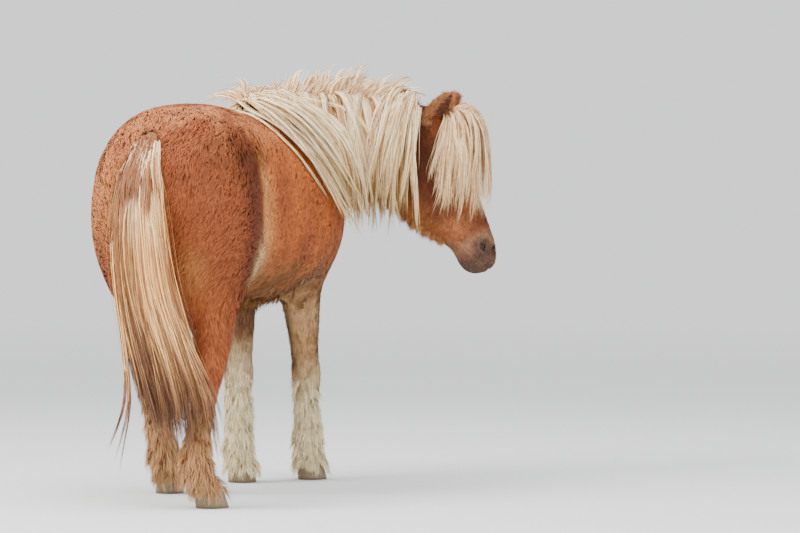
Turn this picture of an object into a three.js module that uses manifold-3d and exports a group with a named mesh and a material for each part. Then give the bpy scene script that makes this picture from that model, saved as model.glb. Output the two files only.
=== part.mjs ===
// Shetland pony, standing and grazing with its head turned to its right, life size.
// Millimetres, +X forwards along the trunk, +Y to the pony's left, +Z up, soles on Z = 0.
import * as THREE from 'three';
import Module from 'manifold-3d';

const wasm = await Module();
wasm.setup();

// Driving dimensions
const partingGap = 0.3;
const headLength = 385;
const headYaw = THREE.MathUtils.degToRad(-79.5);
const headTilt = THREE.MathUtils.degToRad(21);
const pollPlace = new THREE.Vector3(973, -390, 946);
const hoofHeight = 52;
const hoofWidth = 37;
const hoofLength = 47;
const coronetSlope = 0.28;
const eyeRadius = 18;
const eyePlace = [128, 30];
const eyeProud = 5;
const earLength = 108;
const earPlace = [12, 2, 46];

// Directions of the head: along the face to the muzzle, out of the face, and to its left
const faceWay = new THREE.Vector3(Math.cos(headYaw), Math.sin(headYaw), 0);
const upWay = new THREE.Vector3(0, 0, 1);
const muzzleWay = upWay.clone().multiplyScalar(-Math.cos(headTilt))
  .addScaledVector(faceWay, Math.sin(headTilt));
const browWay = faceWay.clone().multiplyScalar(Math.cos(headTilt))
  .addScaledVector(upWay, Math.sin(headTilt));
const headLeft = new THREE.Vector3(-faceWay.y, faceWay.x, 0);

function onHead(along, out, left) {
  return pollPlace.clone()
    .addScaledVector(muzzleWay, along)
    .addScaledVector(browWay, out)
    .addScaledVector(headLeft, left);
}

// A section of a limb: its middle, half width, and reach to its upper and lower side
function section(place, side, upper, lower, facing = [0, 0, 1]) {
  return { place: new THREE.Vector3(...place), side, upper, lower, facing: new THREE.Vector3(...facing) };
}

function rolled(degrees) {
  const angle = THREE.MathUtils.degToRad(degrees);
  return [0, Math.sin(angle), Math.cos(angle)];
}

function headSection(along, out, side, upper, lower) {
  return section(onHead(along, out, 0).toArray(), side, upper, lower, browWay.toArray());
}

// Legs share their girths: half width, reach forwards, reach backwards, from the body down
const hindGirths = [
  [76, 140, 150], [68, 130, 125], [55, 92, 88], [45, 60, 56], [37, 40, 46], [37, 38, 45],
  [30, 30, 32], [24, 26, 26], [26, 27, 30], [31, 30, 34], [27, 27, 28], [33, 34, 34],
];
const foreGirths = [
  [70, 100, 100], [61, 85, 85], [49, 62, 66], [37, 43, 43], [32, 34, 34], [36, 38, 34],
  [30, 30, 30], [24, 24, 26], [27, 26, 30], [31, 30, 34], [27, 27, 28], [33, 34, 34],
];
const toeTurnTop = 400;
const toeTurnDepth = 250;

function legSections(girths, toeDegrees, path) {
  const toe = THREE.MathUtils.degToRad(toeDegrees);
  return path.map((place, i) => {
    const turn = THREE.MathUtils.clamp((toeTurnTop - place[2]) / toeTurnDepth, 0, 1) * toe;
    return section(place, ...girths[i], [Math.cos(turn), Math.sin(turn), 0]);
  });
}

// The pony's tubes of flesh; ends are the reach of the two end caps past the end sections
const trunk = {
  power: 2.5, ends: [110, 110], blend: 0,
  sections: [
    section([100, 4, 725], 172, 218, 200),
    section([160, 4, 732], 195, 262, 215),
    section([240, 2, 735], 203, 270, 230),
    section([335, 0, 735], 188, 262, 240, rolled(1)),
    section([430, -3, 727], 220, 252, 237, rolled(3)),
    section([540, -6, 720], 240, 250, 236, rolled(4)),
    section([650, -8, 720], 228, 258, 228, rolled(5)),
    section([740, -8, 722], 195, 248, 205, rolled(6)),
    section([810, -10, 728], 155, 190, 170, rolled(6)),
  ],
};
const neck = {
  power: 2.1, ends: [100, 60], blend: 70,
  sections: [
    section([620, 0, 770], 140, 180, 170),
    section([730, -10, 800], 130, 185, 170),
    section([830, -60, 835], 105, 165, 160),
    section([910, -155, 862], 88, 142, 142),
    section([962, -262, 868], 78, 130, 130),
    section([975, -345, 870], 72, 118, 112),
    section([972, -400, 880], 60, 90, 90),
  ],
};
const head = {
  power: 2.25, ends: [40, 20], blend: 35,
  sections: [
    headSection(0, -10, 55, 45, 60),
    headSection(50, -20, 75, 75, 90),
    headSection(110, -30, 84, 95, 118),
    headSection(155, -40, 80, 100, 120),
    headSection(200, -36, 68, 92, 108),
    headSection(255, -22, 54, 74, 82),
    headSection(310, -10, 47, 61, 62),
    headSection(355, -6, 48, 54, 54),
    headSection(headLength, -6, 42, 46, 46),
  ],
};
const legs = {
  hind_right: {
    power: 2.1, ends: [80, 20], blend: 60, toe: -35,
    sections: legSections(hindGirths, -35, [
      [175, -100, 660], [135, -104, 580], [85, -119, 500], [32, -143, 430], [-28, -167, 375],
      [-62, -171, 340], [-80, -170, 290], [-104, -169, 220], [-130, -168, 145], [-136, -169, 115],
      [-118, -177, 75], [-102, -185, 50],
    ]),
  },
  hind_left: {
    power: 2.1, ends: [80, 20], blend: 60, toe: 20,
    sections: legSections(hindGirths, 20, [
      [210, 90, 660], [215, 88, 580], [220, 92, 500], [202, 95, 430], [185, 96, 375],
      [183, 93, 340], [203, 91, 290], [235, 89, 220], [263, 87, 145], [270, 86, 115],
      [295, 85, 75], [310, 85, 50],
    ]),
  },
  fore_right: {
    power: 2.1, ends: [80, 20], blend: 50, toe: -8,
    sections: legSections(foreGirths, -8, [
      [740, -105, 660], [735, -112, 580], [745, -112, 500], [775, -107, 400], [800, -102, 330],
      [815, -99, 285], [828, -97, 245], [842, -94, 180], [850, -91, 130], [852, -90, 105],
      [868, -88, 70], [876, -87, 50],
    ]),
  },
  fore_left: {
    power: 2.1, ends: [80, 20], blend: 50, toe: 8,
    sections: legSections(foreGirths, 8, [
      [740, 85, 660], [710, 65, 580], [690, 48, 500], [692, 44, 400], [698, 46, 330],
      [700, 47, 285], [700, 46, 245], [697, 45, 180], [693, 44, 130], [692, 44, 105],
      [706, 45, 70], [713, 45, 50],
    ]),
  },
};

// Muscles and bony points that swell out of the tubes
const trunkWays = [new THREE.Vector3(1, 0, 0), new THREE.Vector3(0, 1, 0), new THREE.Vector3(0, 0, 1)];
const headWays = [muzzleWay, browWay, headLeft];

function onTrunk(place, reach, blend) {
  return { place: new THREE.Vector3(...place), reach, blend, ways: trunkWays };
}

function headPair(along, out, left, reach, blend) {
  return [left, -left].map((side) => ({ place: onHead(along, out, side), reach, blend, ways: headWays }));
}

const muscles = [
  onTrunk([700, 8, 925], [110, 35, 50], 50),
  onTrunk([130, -102, 705], [140, 98, 185], 50),
  onTrunk([140, 106, 712], [140, 96, 175], 50),
  onTrunk([85, -88, 600], [90, 72, 150], 50),
  onTrunk([100, 88, 610], [90, 72, 140], 50),
  onTrunk([760, -138, 730], [90, 62, 130], 50),
  onTrunk([760, 125, 730], [90, 70, 130], 50),
];
const features = [
  ...headPair(165, -78, 44, [72, 58, 30], 30),
  ...headPair(100, 44, 56, [34, 18, 16], 18),
  ...headPair(240, 12, 34, [70, 16, 14], 16),
  ...headPair(352, 22, 30, [24, 17, 15], 14),
  { place: onHead(372, -34, 0), reach: [24, 20, 26], blend: 16, ways: headWays },
];

// Sections between the given ones, on a smooth curve through them
const stepsBetween = 3;

function curvePoint(a, b, c, d, t) {
  const square = t * t;
  const bend = 2 * a - 5 * b + 4 * c - d;
  const twist = 3 * b - a - 3 * c + d;
  return 0.5 * (2 * b + (c - a) * t + bend * square + twist * square * t);
}

function flat(piece) {
  return [...piece.place.toArray(), piece.side, piece.upper, piece.lower, ...piece.facing.toArray()];
}

function smoothSections(sections) {
  const rows = sections.map(flat);
  const last = rows.length - 1;
  const before = rows[0].map((value, i) => 2 * value - rows[1][i]);
  const after = rows[last].map((value, i) => 2 * value - rows[last - 1][i]);
  const padded = [before, ...rows, after];
  const fine = [];
  for (let i = 1; i < padded.length - 2; i += 1) {
    for (let step = 0; step < stepsBetween; step += 1) {
      const t = step / stepsBetween;
      fine.push(padded[i].map((value, k) => (
        curvePoint(padded[i - 1][k], value, padded[i + 1][k], padded[i + 2][k], t))));
    }
  }
  fine.push(rows[last]);
  return fine.map((row) => section(row.slice(0, 3), row[3], row[4], row[5], row.slice(6)));
}

// Distance from the skin of one tube, less than nothing inside it
const tiny = 1e-9;
const farAway = 1000;
const boxMargin = 120;

function prepare(tube) {
  const fine = smoothSections(tube.sections);
  tube.box = new THREE.Box3();
  fine.forEach((piece) => {
    const reach = Math.max(piece.side, piece.upper, piece.lower) + boxMargin;
    tube.box.expandByPoint(piece.place.clone().addScalar(reach));
    tube.box.expandByPoint(piece.place.clone().addScalar(-reach));
  });
  tube.lengths = [];
  for (let i = 0; i + 1 < fine.length; i += 1) {
    const from = fine[i];
    const to = fine[i + 1];
    const along = to.place.clone().sub(from.place);
    const length = along.length();
    along.divideScalar(length);
    const upper = from.facing.clone().add(to.facing);
    upper.addScaledVector(along, -upper.dot(along)).normalize();
    const across = new THREE.Vector3().crossVectors(along, upper);
    tube.lengths.push({ from, to, along, length, upper, across });
  }
  tube.fine = fine;
}

function mix(a, b, t) {
  return a + (b - a) * t;
}

function tubeDistance(point, tube) {
  if (!tube.box.containsPoint(point)) {
    return farAway;
  }
  const power = tube.power;
  const offset = new THREE.Vector3();
  let nearest = farAway;
  tube.lengths.forEach((piece, i) => {
    offset.subVectors(point, piece.from.place);
    const reached = offset.dot(piece.along) / piece.length;
    const t = THREE.MathUtils.clamp(reached, 0, 1);
    offset.addScaledVector(piece.along, -t * piece.length);
    const side = mix(piece.from.side, piece.to.side, t);
    const out = offset.dot(piece.upper);
    const towards = out > 0 ? 'upper' : 'lower';
    const tall = mix(piece.from[towards], piece.to[towards], t);
    let cap = Math.min(side, tall);
    if (i === 0 && reached < 0) {
      cap = tube.ends[0];
    }
    if (i === tube.lengths.length - 1 && reached > 1) {
      cap = tube.ends[1];
    }
    const reach = [side, tall, cap];
    const parts = [offset.dot(piece.across), out, offset.dot(piece.along)]
      .map((v, k) => Math.abs(v) / reach[k]);
    const size = parts.reduce((sum, v) => sum + v ** power, 0) ** (1 / power) + tiny;
    const steepness = Math.hypot(...parts.map((v, k) => v ** (power - 1) / reach[k]));
    const slope = steepness / size ** (power - 1) + tiny;
    nearest = Math.min(nearest, (size - 1) / slope);
  });
  return nearest;
}

function muscleDistance(point, muscle) {
  const offset = point.clone().sub(muscle.place);
  const parts = muscle.ways.map((way, k) => offset.dot(way) / muscle.reach[k]);
  const size = Math.hypot(...parts) + 1e-9;
  const slope = Math.hypot(...parts.map((v, k) => v / muscle.reach[k])) / size + 1e-9;
  return (size - 1) / slope;
}

function smoothJoin(a, b, blend) {
  if (blend <= 0) {
    return Math.min(a, b);
  }
  const near = Math.max(blend - Math.abs(a - b), 0) / blend;
  return Math.min(a, b) - near * near * blend * 0.25;
}

const tubes = [trunk, ...Object.values(legs), neck, head];
tubes.forEach(prepare);

// Distance from the pony's skin as a whole
function skinDistance(point) {
  let distance = tubeDistance(point, trunk);
  muscles.forEach((muscle) => {
    distance = smoothJoin(distance, muscleDistance(point, muscle), muscle.blend);
  });
  tubes.slice(1).forEach((tube) => {
    distance = smoothJoin(distance, tubeDistance(point, tube), tube.blend);
  });
  if (head.box.containsPoint(point)) {
    features.forEach((feature) => {
      distance = smoothJoin(distance, muscleDistance(point, feature), feature.blend);
    });
  }
  return distance;
}

const slopeStep = 2;

function steepest(point, distance) {
  const slope = ['x', 'y', 'z'].map((axis) => {
    const ahead = point.clone();
    const behind = point.clone();
    ahead[axis] += slopeStep;
    behind[axis] -= slopeStep;
    return distance(ahead) - distance(behind);
  });
  return new THREE.Vector3(...slope).normalize();
}

function skinNormal(point) {
  return steepest(point, skinDistance);
}

// Moves a point onto the skin, or to some height over it
function toSkin(point, height = 0) {
  const placed = point.clone();
  for (let i = 0; i < 8; i += 1) {
    placed.addScaledVector(skinNormal(placed), height - skinDistance(placed));
  }
  return placed;
}

// Closed shells: rings of points joined by faces, closed by a fan at either end
class Shell {
  constructor() {
    this.points = [];
    this.faces = [];
  }

  addRing(ring) {
    const first = this.points.length;
    this.points.push(...ring);
    return ring.map((_, i) => first + i);
  }

  bridge(lower, upper) {
    const count = lower.length;
    for (let i = 0; i < count; i += 1) {
      const next = (i + 1) % count;
      this.faces.push([lower[i], lower[next], upper[next]], [lower[i], upper[next], upper[i]]);
    }
  }

  fan(ring, tip, facingUp) {
    const middle = this.points.length;
    this.points.push(tip);
    ring.forEach((corner, i) => {
      const next = ring[(i + 1) % ring.length];
      this.faces.push(facingUp ? [corner, next, middle] : [next, corner, middle]);
    });
  }

  solid() {
    const vertProperties = new Float32Array(this.points.flatMap((point) => point.toArray()));
    const triVerts = new Uint32Array(this.faces.flat());
    let solid = new wasm.Manifold(new wasm.Mesh({ numProp: 3, vertProperties, triVerts }));
    if (solid.volume() < 0) {
      const turned = new Uint32Array(this.faces.flatMap(([a, b, c]) => [a, c, b]));
      solid = new wasm.Manifold(new wasm.Mesh({ numProp: 3, vertProperties, triVerts: turned }));
    }
    return solid;
  }
}

function ringShell(rings, firstTip, lastTip) {
  const shell = new Shell();
  const corners = rings.map((ring) => shell.addRing(ring));
  for (let i = 0; i + 1 < corners.length; i += 1) {
    shell.bridge(corners[i], corners[i + 1]);
  }
  shell.fan(corners[0], firstTip, false);
  shell.fan(corners[corners.length - 1], lastTip, true);
  return shell;
}

// Flesh of one tube: rings round its middle line, each point moved out to the whole pony's skin
const skinStep = 4;
const mostReach = 1.3;
const endRings = [0.5, 0.85];

function fleshRing(tube, middle, upper, across, girth, sides) {
  const ring = [];
  for (let i = 0; i < sides; i += 1) {
    const angle = (2 * Math.PI * (i + 0.5)) / sides;
    const tall = Math.sin(angle) > 0 ? girth.upper : girth.lower;
    const size = (Math.abs(Math.cos(angle) / girth.side) ** tube.power
      + Math.abs(Math.sin(angle) / tall) ** tube.power) ** (-1 / tube.power);
    const way = across.clone().multiplyScalar(Math.cos(angle)).addScaledVector(upper, Math.sin(angle));
    let reach = size;
    let distance = skinDistance(middle.clone().addScaledVector(way, reach));
    while (distance < -0.2 && reach < size * mostReach + skinStep) {
      reach += Math.max(-distance * 0.7, 0.5);
      distance = skinDistance(middle.clone().addScaledVector(way, reach));
    }
    ring.push(middle.clone().addScaledVector(way, Math.min(reach, size * mostReach + skinStep)));
  }
  return ring;
}

function fleshShell(tube, sides, everyRing = 1) {
  const rings = [];
  const pieces = tube.lengths;
  const last = pieces[pieces.length - 1];
  const add = (piece, girth, middle, scale) => {
    const sized = { side: girth.side * scale, upper: girth.upper * scale, lower: girth.lower * scale };
    rings.push(fleshRing(tube, middle, piece.upper, piece.across, sized, sides));
  };
  [...endRings].reverse().forEach((part) => {
    const middle = pieces[0].from.place.clone().addScaledVector(pieces[0].along, -tube.ends[0] * part);
    add(pieces[0], pieces[0].from, middle, (1 - part ** tube.power) ** (1 / tube.power));
  });
  tube.fine.forEach((girth, i) => {
    if (i % everyRing === 0 || i === tube.fine.length - 1) {
      const before = pieces[Math.max(i - 1, 0)];
      const after = pieces[Math.min(i, pieces.length - 1)];
      const upper = before.upper.clone().add(after.upper).normalize();
      const across = before.across.clone().add(after.across).normalize();
      add({ upper, across }, girth, girth.place, 1);
    }
  });
  endRings.forEach((part) => {
    const middle = last.to.place.clone().addScaledVector(last.along, tube.ends[1] * part);
    add(last, last.to, middle, (1 - part ** tube.power) ** (1 / tube.power));
  });
  const firstTip = pieces[0].from.place.clone().addScaledVector(pieces[0].along, -tube.ends[0]);
  const lastTip = last.to.place.clone().addScaledVector(last.along, tube.ends[1]);
  return ringShell(rings, firstTip, lastTip);
}

// Cutting blocks: everything on one side of a plane
const blockSize = 4000;

function halfSpace(place, outWay) {
  const block = new THREE.BoxGeometry(blockSize, blockSize, blockSize);
  block.deleteAttribute('normal');
  block.deleteAttribute('uv');
  const turn = new THREE.Quaternion().setFromUnitVectors(upWay, outWay.clone().normalize());
  const centre = place.clone().addScaledVector(outWay.clone().normalize(), blockSize / 2);
  const corners = block.getAttribute('position');
  const shell = new Shell();
  const merged = new Map();
  const index = [];
  for (let i = 0; i < corners.count; i += 1) {
    const corner = new THREE.Vector3().fromBufferAttribute(corners, i);
    const key = corner.toArray().join();
    if (!merged.has(key)) {
      merged.set(key, shell.points.length);
      shell.points.push(corner.applyQuaternion(turn).add(centre));
    }
    index.push(merged.get(key));
  }
  const order = block.getIndex().array;
  for (let i = 0; i < order.length; i += 3) {
    shell.faces.push([index[order[i]], index[order[i + 1]], index[order[i + 2]]]);
  }
  return shell.solid();
}

function largest(solid) {
  return solid.decompose().sort((a, b) => b.volume() - a.volume())[0];
}

// Eyes: a ball in a socket, with an upper and a lower lid round it
function ball(place, radii, ways, around = 12, down = 7) {
  const rings = [];
  for (let j = 1; j < down; j += 1) {
    const polar = (Math.PI * j) / down;
    const ring = [];
    for (let i = 0; i < around; i += 1) {
      const angle = (2 * Math.PI * i) / around;
      ring.push(place.clone()
        .addScaledVector(ways[0], radii[0] * Math.sin(polar) * Math.cos(angle))
        .addScaledVector(ways[1], radii[1] * Math.sin(polar) * Math.sin(angle))
        .addScaledVector(ways[2], -radii[2] * Math.cos(polar)));
    }
    rings.push(ring);
  }
  const firstTip = place.clone().addScaledVector(ways[2], -radii[2]);
  const lastTip = place.clone().addScaledVector(ways[2], radii[2]);
  return ringShell(rings, firstTip, lastTip).solid();
}

// A tapered hoof: flat sole, sloping wall, top cut to the slant of the coronet
const hoofSides = 16;
const hoofLevels = [
  { height: 0, width: 1.0, length: 1.0, forward: 0 },
  { height: 0.35, width: 0.97, length: 0.96, forward: -0.07 },
  { height: 1.35, width: 0.84, length: 0.80, forward: -0.27 },
];

function hoofFrame(leg) {
  const toe = THREE.MathUtils.degToRad(leg.toe);
  const forward = new THREE.Vector3(Math.cos(toe), Math.sin(toe), 0);
  const left = new THREE.Vector3(-forward.y, forward.x, 0);
  const coronet = leg.sections[leg.sections.length - 1].place;
  const centre = new THREE.Vector3(coronet.x, coronet.y, 0).addScaledVector(forward, hoofLength * 0.27);
  return { forward, left, centre };
}

function hoofShell(leg) {
  const { forward, left, centre } = hoofFrame(leg);
  const rings = hoofLevels.map((level) => {
    const ring = [];
    for (let i = 0; i < hoofSides; i += 1) {
      const angle = (2 * Math.PI * i) / hoofSides;
      const heel = Math.cos(angle) < 0 ? 0.86 : 1;
      ring.push(centre.clone()
        .addScaledVector(forward, hoofLength * (level.forward + heel * level.length * Math.cos(angle)))
        .addScaledVector(left, hoofWidth * level.width * Math.sin(angle))
        .addScaledVector(upWay, hoofHeight * level.height));
    }
    return ring;
  });
  const top = rings[rings.length - 1].reduce((sum, point) => sum.add(point), new THREE.Vector3());
  return ringShell(rings, centre.clone(), top.divideScalar(hoofSides));
}

function coronetPlane(leg, lift) {
  const { forward, centre } = hoofFrame(leg);
  const place = centre.clone().addScaledVector(upWay, hoofHeight - 4 + lift);
  const way = upWay.clone().addScaledVector(forward, -coronetSlope).normalize();
  return { place, way };
}

// What hair lies on: the skin and the hooves
const hoofTubes = Object.values(legs).map((leg) => {
  const { forward, centre } = hoofFrame(leg);
  const facing = forward.toArray();
  const coronet = leg.sections[leg.sections.length - 1].place.toArray();
  const hoof = {
    power: 2.3,
    ends: [20, 5],
    sections: [
      section(coronet, 34, 34, 36, facing),
      section(centre.toArray(), hoofWidth, hoofLength, 41, facing),
    ],
  };
  prepare(hoof);
  return hoof;
});

function hairGround(point) {
  return Math.min(skinDistance(point), ...hoofTubes.map((hoof) => tubeDistance(point, hoof)));
}

// Draws that come out the same each time
let drawState = 20251;

function draw(low = 0, high = 1) {
  drawState = (Math.imul(drawState, 1664525) + 1013904223) >>> 0;
  return low + (high - low) * (drawState / 4294967296);
}

// A flat lock of hair along a path: full in its upper half, then tapering to its tip
const lockRidge = 0.42;
const lockUnderside = 0.12;
const lockThinnest = 1.2;
const lockTipShare = 0.18;
const lockTaper = { from: 0.72, power: 2.2, blunt: 0.8 };

function lockSolid(path, outWays, width) {
  const last = path.length - 1;
  const rings = [];
  for (let i = 0; i < last; i += 1) {
    const t = i / last;
    const along = path[i + 1].clone().sub(path[Math.max(i - 1, 0)]).normalize();
    const across = new THREE.Vector3().crossVectors(along, outWays[i]).normalize();
    const outward = new THREE.Vector3().crossVectors(across, along);
    const taper = (1 - t ** lockTaper.power) ** lockTaper.blunt;
    const half = (width / 2) * Math.min(lockTaper.from + t, 1) * Math.max(lockTipShare, taper);
    const below = -half * lockUnderside;
    const ridge = Math.max(half * lockRidge, lockThinnest);
    rings.push([[half, below], [0, ridge], [-half, below]].map(([side, out]) => (
      path[i].clone().addScaledVector(across, side).addScaledVector(outward, out))));
  }
  return ringShell(rings, path[0].clone(), path[last]).solid();
}

// Hair that leaves the skin, turns to its lie and rests on what is under it
const drapeStep = 12;
const floorClear = 6;

function drape({ root, start, lie, length, height, stiffness, stations, sunk, rise = 0 }) {
  const trail = [root.clone()];
  const way = start.clone().normalize();
  const steps = Math.max(Math.round(length / drapeStep), stations);
  for (let i = 0; i < steps; i += 1) {
    const t = i / steps;
    if (i * drapeStep >= rise) {
      way.multiplyScalar(stiffness).addScaledVector(lie(trail[i], t), 1 - stiffness).normalize();
    }
    const next = trail[i].clone().addScaledVector(way, length / steps);
    const least = Math.min(height, 2 + (i + 1) * drapeStep * 0.6);
    const lift = least - hairGround(next);
    if (lift > 0) {
      next.addScaledVector(steepest(next, hairGround), lift);
      way.subVectors(next, trail[i]).normalize();
    }
    next.z = Math.max(next.z, floorClear);
    trail.push(next);
  }
  const path = [];
  const outWays = [];
  for (let k = 0; k < stations; k += 1) {
    const spot = trail[Math.round((k / (stations - 1)) * steps)];
    path.push(spot.clone());
    outWays.push(steepest(spot, hairGround));
  }
  path[0].addScaledVector(outWays[0], -sunk);
  return { path, outWays };
}

function drapedLock(hair, width) {
  const { path, outWays } = drape(hair);
  return lockSolid(path, outWays, width);
}

function joinAll(pieces) {
  return pieces.reduce((sum, piece) => sum.add(piece));
}

// An ear: a pointed cup, hollow on its front
const earHalfWidth = 33;
const earDepth = 22;
const earBack = 3;
const earTipWay = { along: -0.8, out: 0.85, aside: 0.3 };
const earMouthWay = { out: 0.62, aside: 0.78 };
const earEdge = 4;
const earSunk = 0.2;
const earCupFrom = 0.2;
const earCupStart = 0.25;
const earCupShare = 0.85;
const earBulge = [0.22, 0.92];
const earStations = 8;
const earSides = 12;

function earSolid(leftSign) {
  const root = onHead(earPlace[0], earPlace[1], leftSign * earPlace[2]);
  const tipWay = muzzleWay.clone().multiplyScalar(earTipWay.along).addScaledVector(browWay, earTipWay.out)
    .addScaledVector(headLeft, leftSign * earTipWay.aside).normalize();
  const mouth = browWay.clone().multiplyScalar(earMouthWay.out)
    .addScaledVector(headLeft, leftSign * earMouthWay.aside);
  mouth.addScaledVector(tipWay, -mouth.dot(tipWay)).normalize();
  const across = new THREE.Vector3().crossVectors(tipWay, mouth);
  const rings = [];
  for (let i = 0; i < earStations; i += 1) {
    const t = i / earStations;
    const place = root.clone().addScaledVector(tipWay, earLength * mix(-earSunk, 1, t));
    const width = earHalfWidth * Math.sin(Math.PI * mix(...earBulge, t)) ** 0.8;
    const depth = earDepth * (1 - t) ** 0.6 + earBack;
    const open = t >= earCupStart;
    const cup = Math.sin(Math.PI * Math.min(1, (t - earCupFrom) / (1 - earCupFrom)));
    const hollow = open ? depth * earCupShare * cup : 0;
    const edge = open ? earEdge : depth / 2;
    const ring = [];
    for (let k = 0; k < earSides; k += 1) {
      const turn = (2 * Math.PI * k) / earSides;
      const out = Math.sin(turn);
      const rise = out < 0 ? out * depth : out * (edge - hollow);
      ring.push(place.clone()
        .addScaledVector(across, width * Math.cos(turn))
        .addScaledVector(mouth, rise));
    }
    rings.push(ring);
  }
  const lowTip = root.clone().addScaledVector(tipWay, -earLength * earSunk);
  const highTip = root.clone().addScaledVector(tipWay, earLength);
  return ringShell(rings, lowTip, highTip).solid();
}

// The whole flesh, then the thin parting cuts
const sidesRound = { trunk: 26, neck: 18, head: 18, leg: 12 };
let flesh = fleshShell(trunk, sidesRound.trunk, 2).solid();
flesh = flesh.add(fleshShell(neck, sidesRound.neck, 2).solid());
flesh = flesh.add(fleshShell(head, sidesRound.head).solid());
Object.values(legs).forEach((leg) => {
  flesh = flesh.add(fleshShell(leg, sidesRound.leg, 2).solid());
});

// Takes the part of a solid inside some planes, and leaves a thin gap to the rest
function splitOff(whole, planes) {
  const region = (lift) => planes.map((parting) => beyond(parting, -lift))
    .reduce((sum, block) => sum.intersect(block));
  return [largest(whole.intersect(region(0))), largest(whole.subtract(region(partingGap)))];
}

// Cuts a solid clear of a neighbour, with the gap all round
function clearOf(solid, neighbour) {
  let left = solid.subtract(neighbour);
  [[1, 0, 0], [-1, 0, 0], [0, 1, 0], [0, -1, 0], [0, 0, 1], [0, 0, -1]].forEach((way) => {
    left = left.subtract(neighbour.translate(way.map((value) => value * partingGap)));
  });
  return left;
}

// The parts of a solid on either side of a plane, kept the gap apart
function beyond({ place, way }, lift) {
  return halfSpace(place.clone().addScaledVector(way.clone().normalize(), lift), way);
}

function ahead(solid, parting) {
  return solid.intersect(beyond(parting, 0.5 * partingGap));
}

function behind(solid, parting) {
  return solid.subtract(beyond(parting, -partingGap));
}

function plane(place, way) {
  return { place: new THREE.Vector3(...place), way: new THREE.Vector3(...way) };
}

const headParting = plane([975, -330, 880], [0.06, -0.955, -0.29]);
const neckParting = plane([900, -140, 860], [0.45, -0.89, 0.05]);
const solids = {};
let rest = flesh;
[solids.head, rest] = splitOff(rest, [headParting, plane([0, 0, 500], [0, 0, 1])]);
[solids.neck_upper, rest] = splitOff(rest, [neckParting]);
[solids.neck_base, rest] = splitOff(rest, [plane([735, -20, 830], [0.72, -0.33, 0.61])]);

// Legs leave the body along planes that rise outwards, each on its own side and end of the body
const legRoots = {
  hind_right: [
    plane([0, -30, 500], [0, -0.577, -0.816]),
    plane([0, -4, 0], [0, -1, 0]),
    plane([385, 0, 0], [-1, 0, 0]),
  ],
  hind_left: [
    plane([0, 30, 500], [0, 0.577, -0.816]), plane([0, 4, 0], [0, 1, 0]), plane([420, 0, 0], [-1, 0, 0]),
  ],
  fore_right: [
    plane([0, -20, 480], [0, -0.45, -0.89]), plane([0, -24, 0], [0, -1, 0]), plane([600, 0, 0], [1, 0, 0]),
  ],
  fore_left: [
    plane([0, 12, 480], [0, 0.45, -0.89]), plane([0, -16, 0], [0, 1, 0]), plane([570, 0, 0], [1, 0, 0]),
  ],
};
const middleJoints = { hind_right: 358, hind_left: 358, fore_right: 300, fore_left: 300 };

Object.entries(legs).forEach(([name, leg]) => {
  let limb;
  [limb, rest] = splitOff(rest, legRoots[name]);
  const joint = plane([0, 0, middleJoints[name]], [0, 0, 1]);
  let lower;
  [solids[`leg_${name}_upper`], lower] = splitOff(limb, [joint]);
  const foot = coronetPlane(leg, 0);
  [solids[`leg_${name}_lower`], lower] = splitOff(lower, [foot]);
  const under = coronetPlane(leg, -partingGap);
  const cover = halfSpace(under.place, under.way);
  solids[`hoof_${name}`] = largest(hoofShell(leg).solid().subtract(cover));
});
solids.torso = rest;

// Mane: locks rooted along the crest, in two layers that fall to the right
const manePiece = neck.fine.slice(0, -1);
const crest = new THREE.CatmullRomCurve3(manePiece.map((girth, i) => {
  const piece = neck.lengths[Math.min(i, neck.lengths.length - 1)];
  return toSkin(girth.place.clone().addScaledVector(piece.upper, girth.upper));
}));
const crestStart = 0.07;
const crestEnd = 0.97;
const crestParting = 0.52;
const maneSweep = 0.4;
const maneRoot = [4, 14];
const fallWay = new THREE.Vector3(0, 0, -1);

function crestFrame(share) {
  const place = crest.getPointAt(share);
  const along = crest.getTangentAt(share);
  const right = new THREE.Vector3().crossVectors(along, upWay).normalize();
  return { place, along, right };
}

function maneLock(share, { side, up, back = 0, ...hair }) {
  const { place, along, right } = crestFrame(share);
  const drift = draw(-0.1, 0.1) + back + maneSweep * (1 - share) ** 2;
  const start = right.clone().multiplyScalar(side).addScaledVector(upWay, up).addScaledVector(along, drift);
  const root = toSkin(place.addScaledVector(right, side * draw(...maneRoot)));
  const lie = () => fallWay.clone().addScaledVector(along, drift).normalize();
  return drapedLock({ root, start, lie, stations: 6, sunk: 16, ...hair }, hair.width);
}

// How far the mane hangs: longest behind the ears and over the shoulder
const maneHang = { middle: 345, more: 55, longestAt: 0.03, shoulder: 60, uneven: [-25, 20] };

function maneLength(share) {
  const wave = Math.cos(2 * Math.PI * (share - maneHang.longestAt));
  const shoulder = maneHang.shoulder * (1 - share) ** 2;
  return maneHang.middle + maneHang.more * wave + shoulder + draw(...maneHang.uneven);
}

// Three layers to the right, each higher off the crest than the last, and short locks to the left
const maneFall = { count: 24, side: 1, width: 56, stiffness: 0.8 };
const maneLayers = [
  { height: 10, up: 0.5, rise: 0 },
  { height: 20, up: 1.5, rise: 18 },
  { height: 30, up: 1.9, rise: 50 },
];
const maneLeft = { count: 6, side: -1, up: 1.3, height: 11, stiffness: 0.8, width: 56 };
const maneLeftSpan = { from: 0.14, to: 0.9, lengths: [170, 220] };
const maneRear = { count: 3, side: -0.5, up: 0.7, height: 11, stiffness: 0.8, width: 44 };
const maneRearSpan = { step: 0.015, back: -1.3, backStep: 0.3, lengths: [130, 180] };

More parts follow.
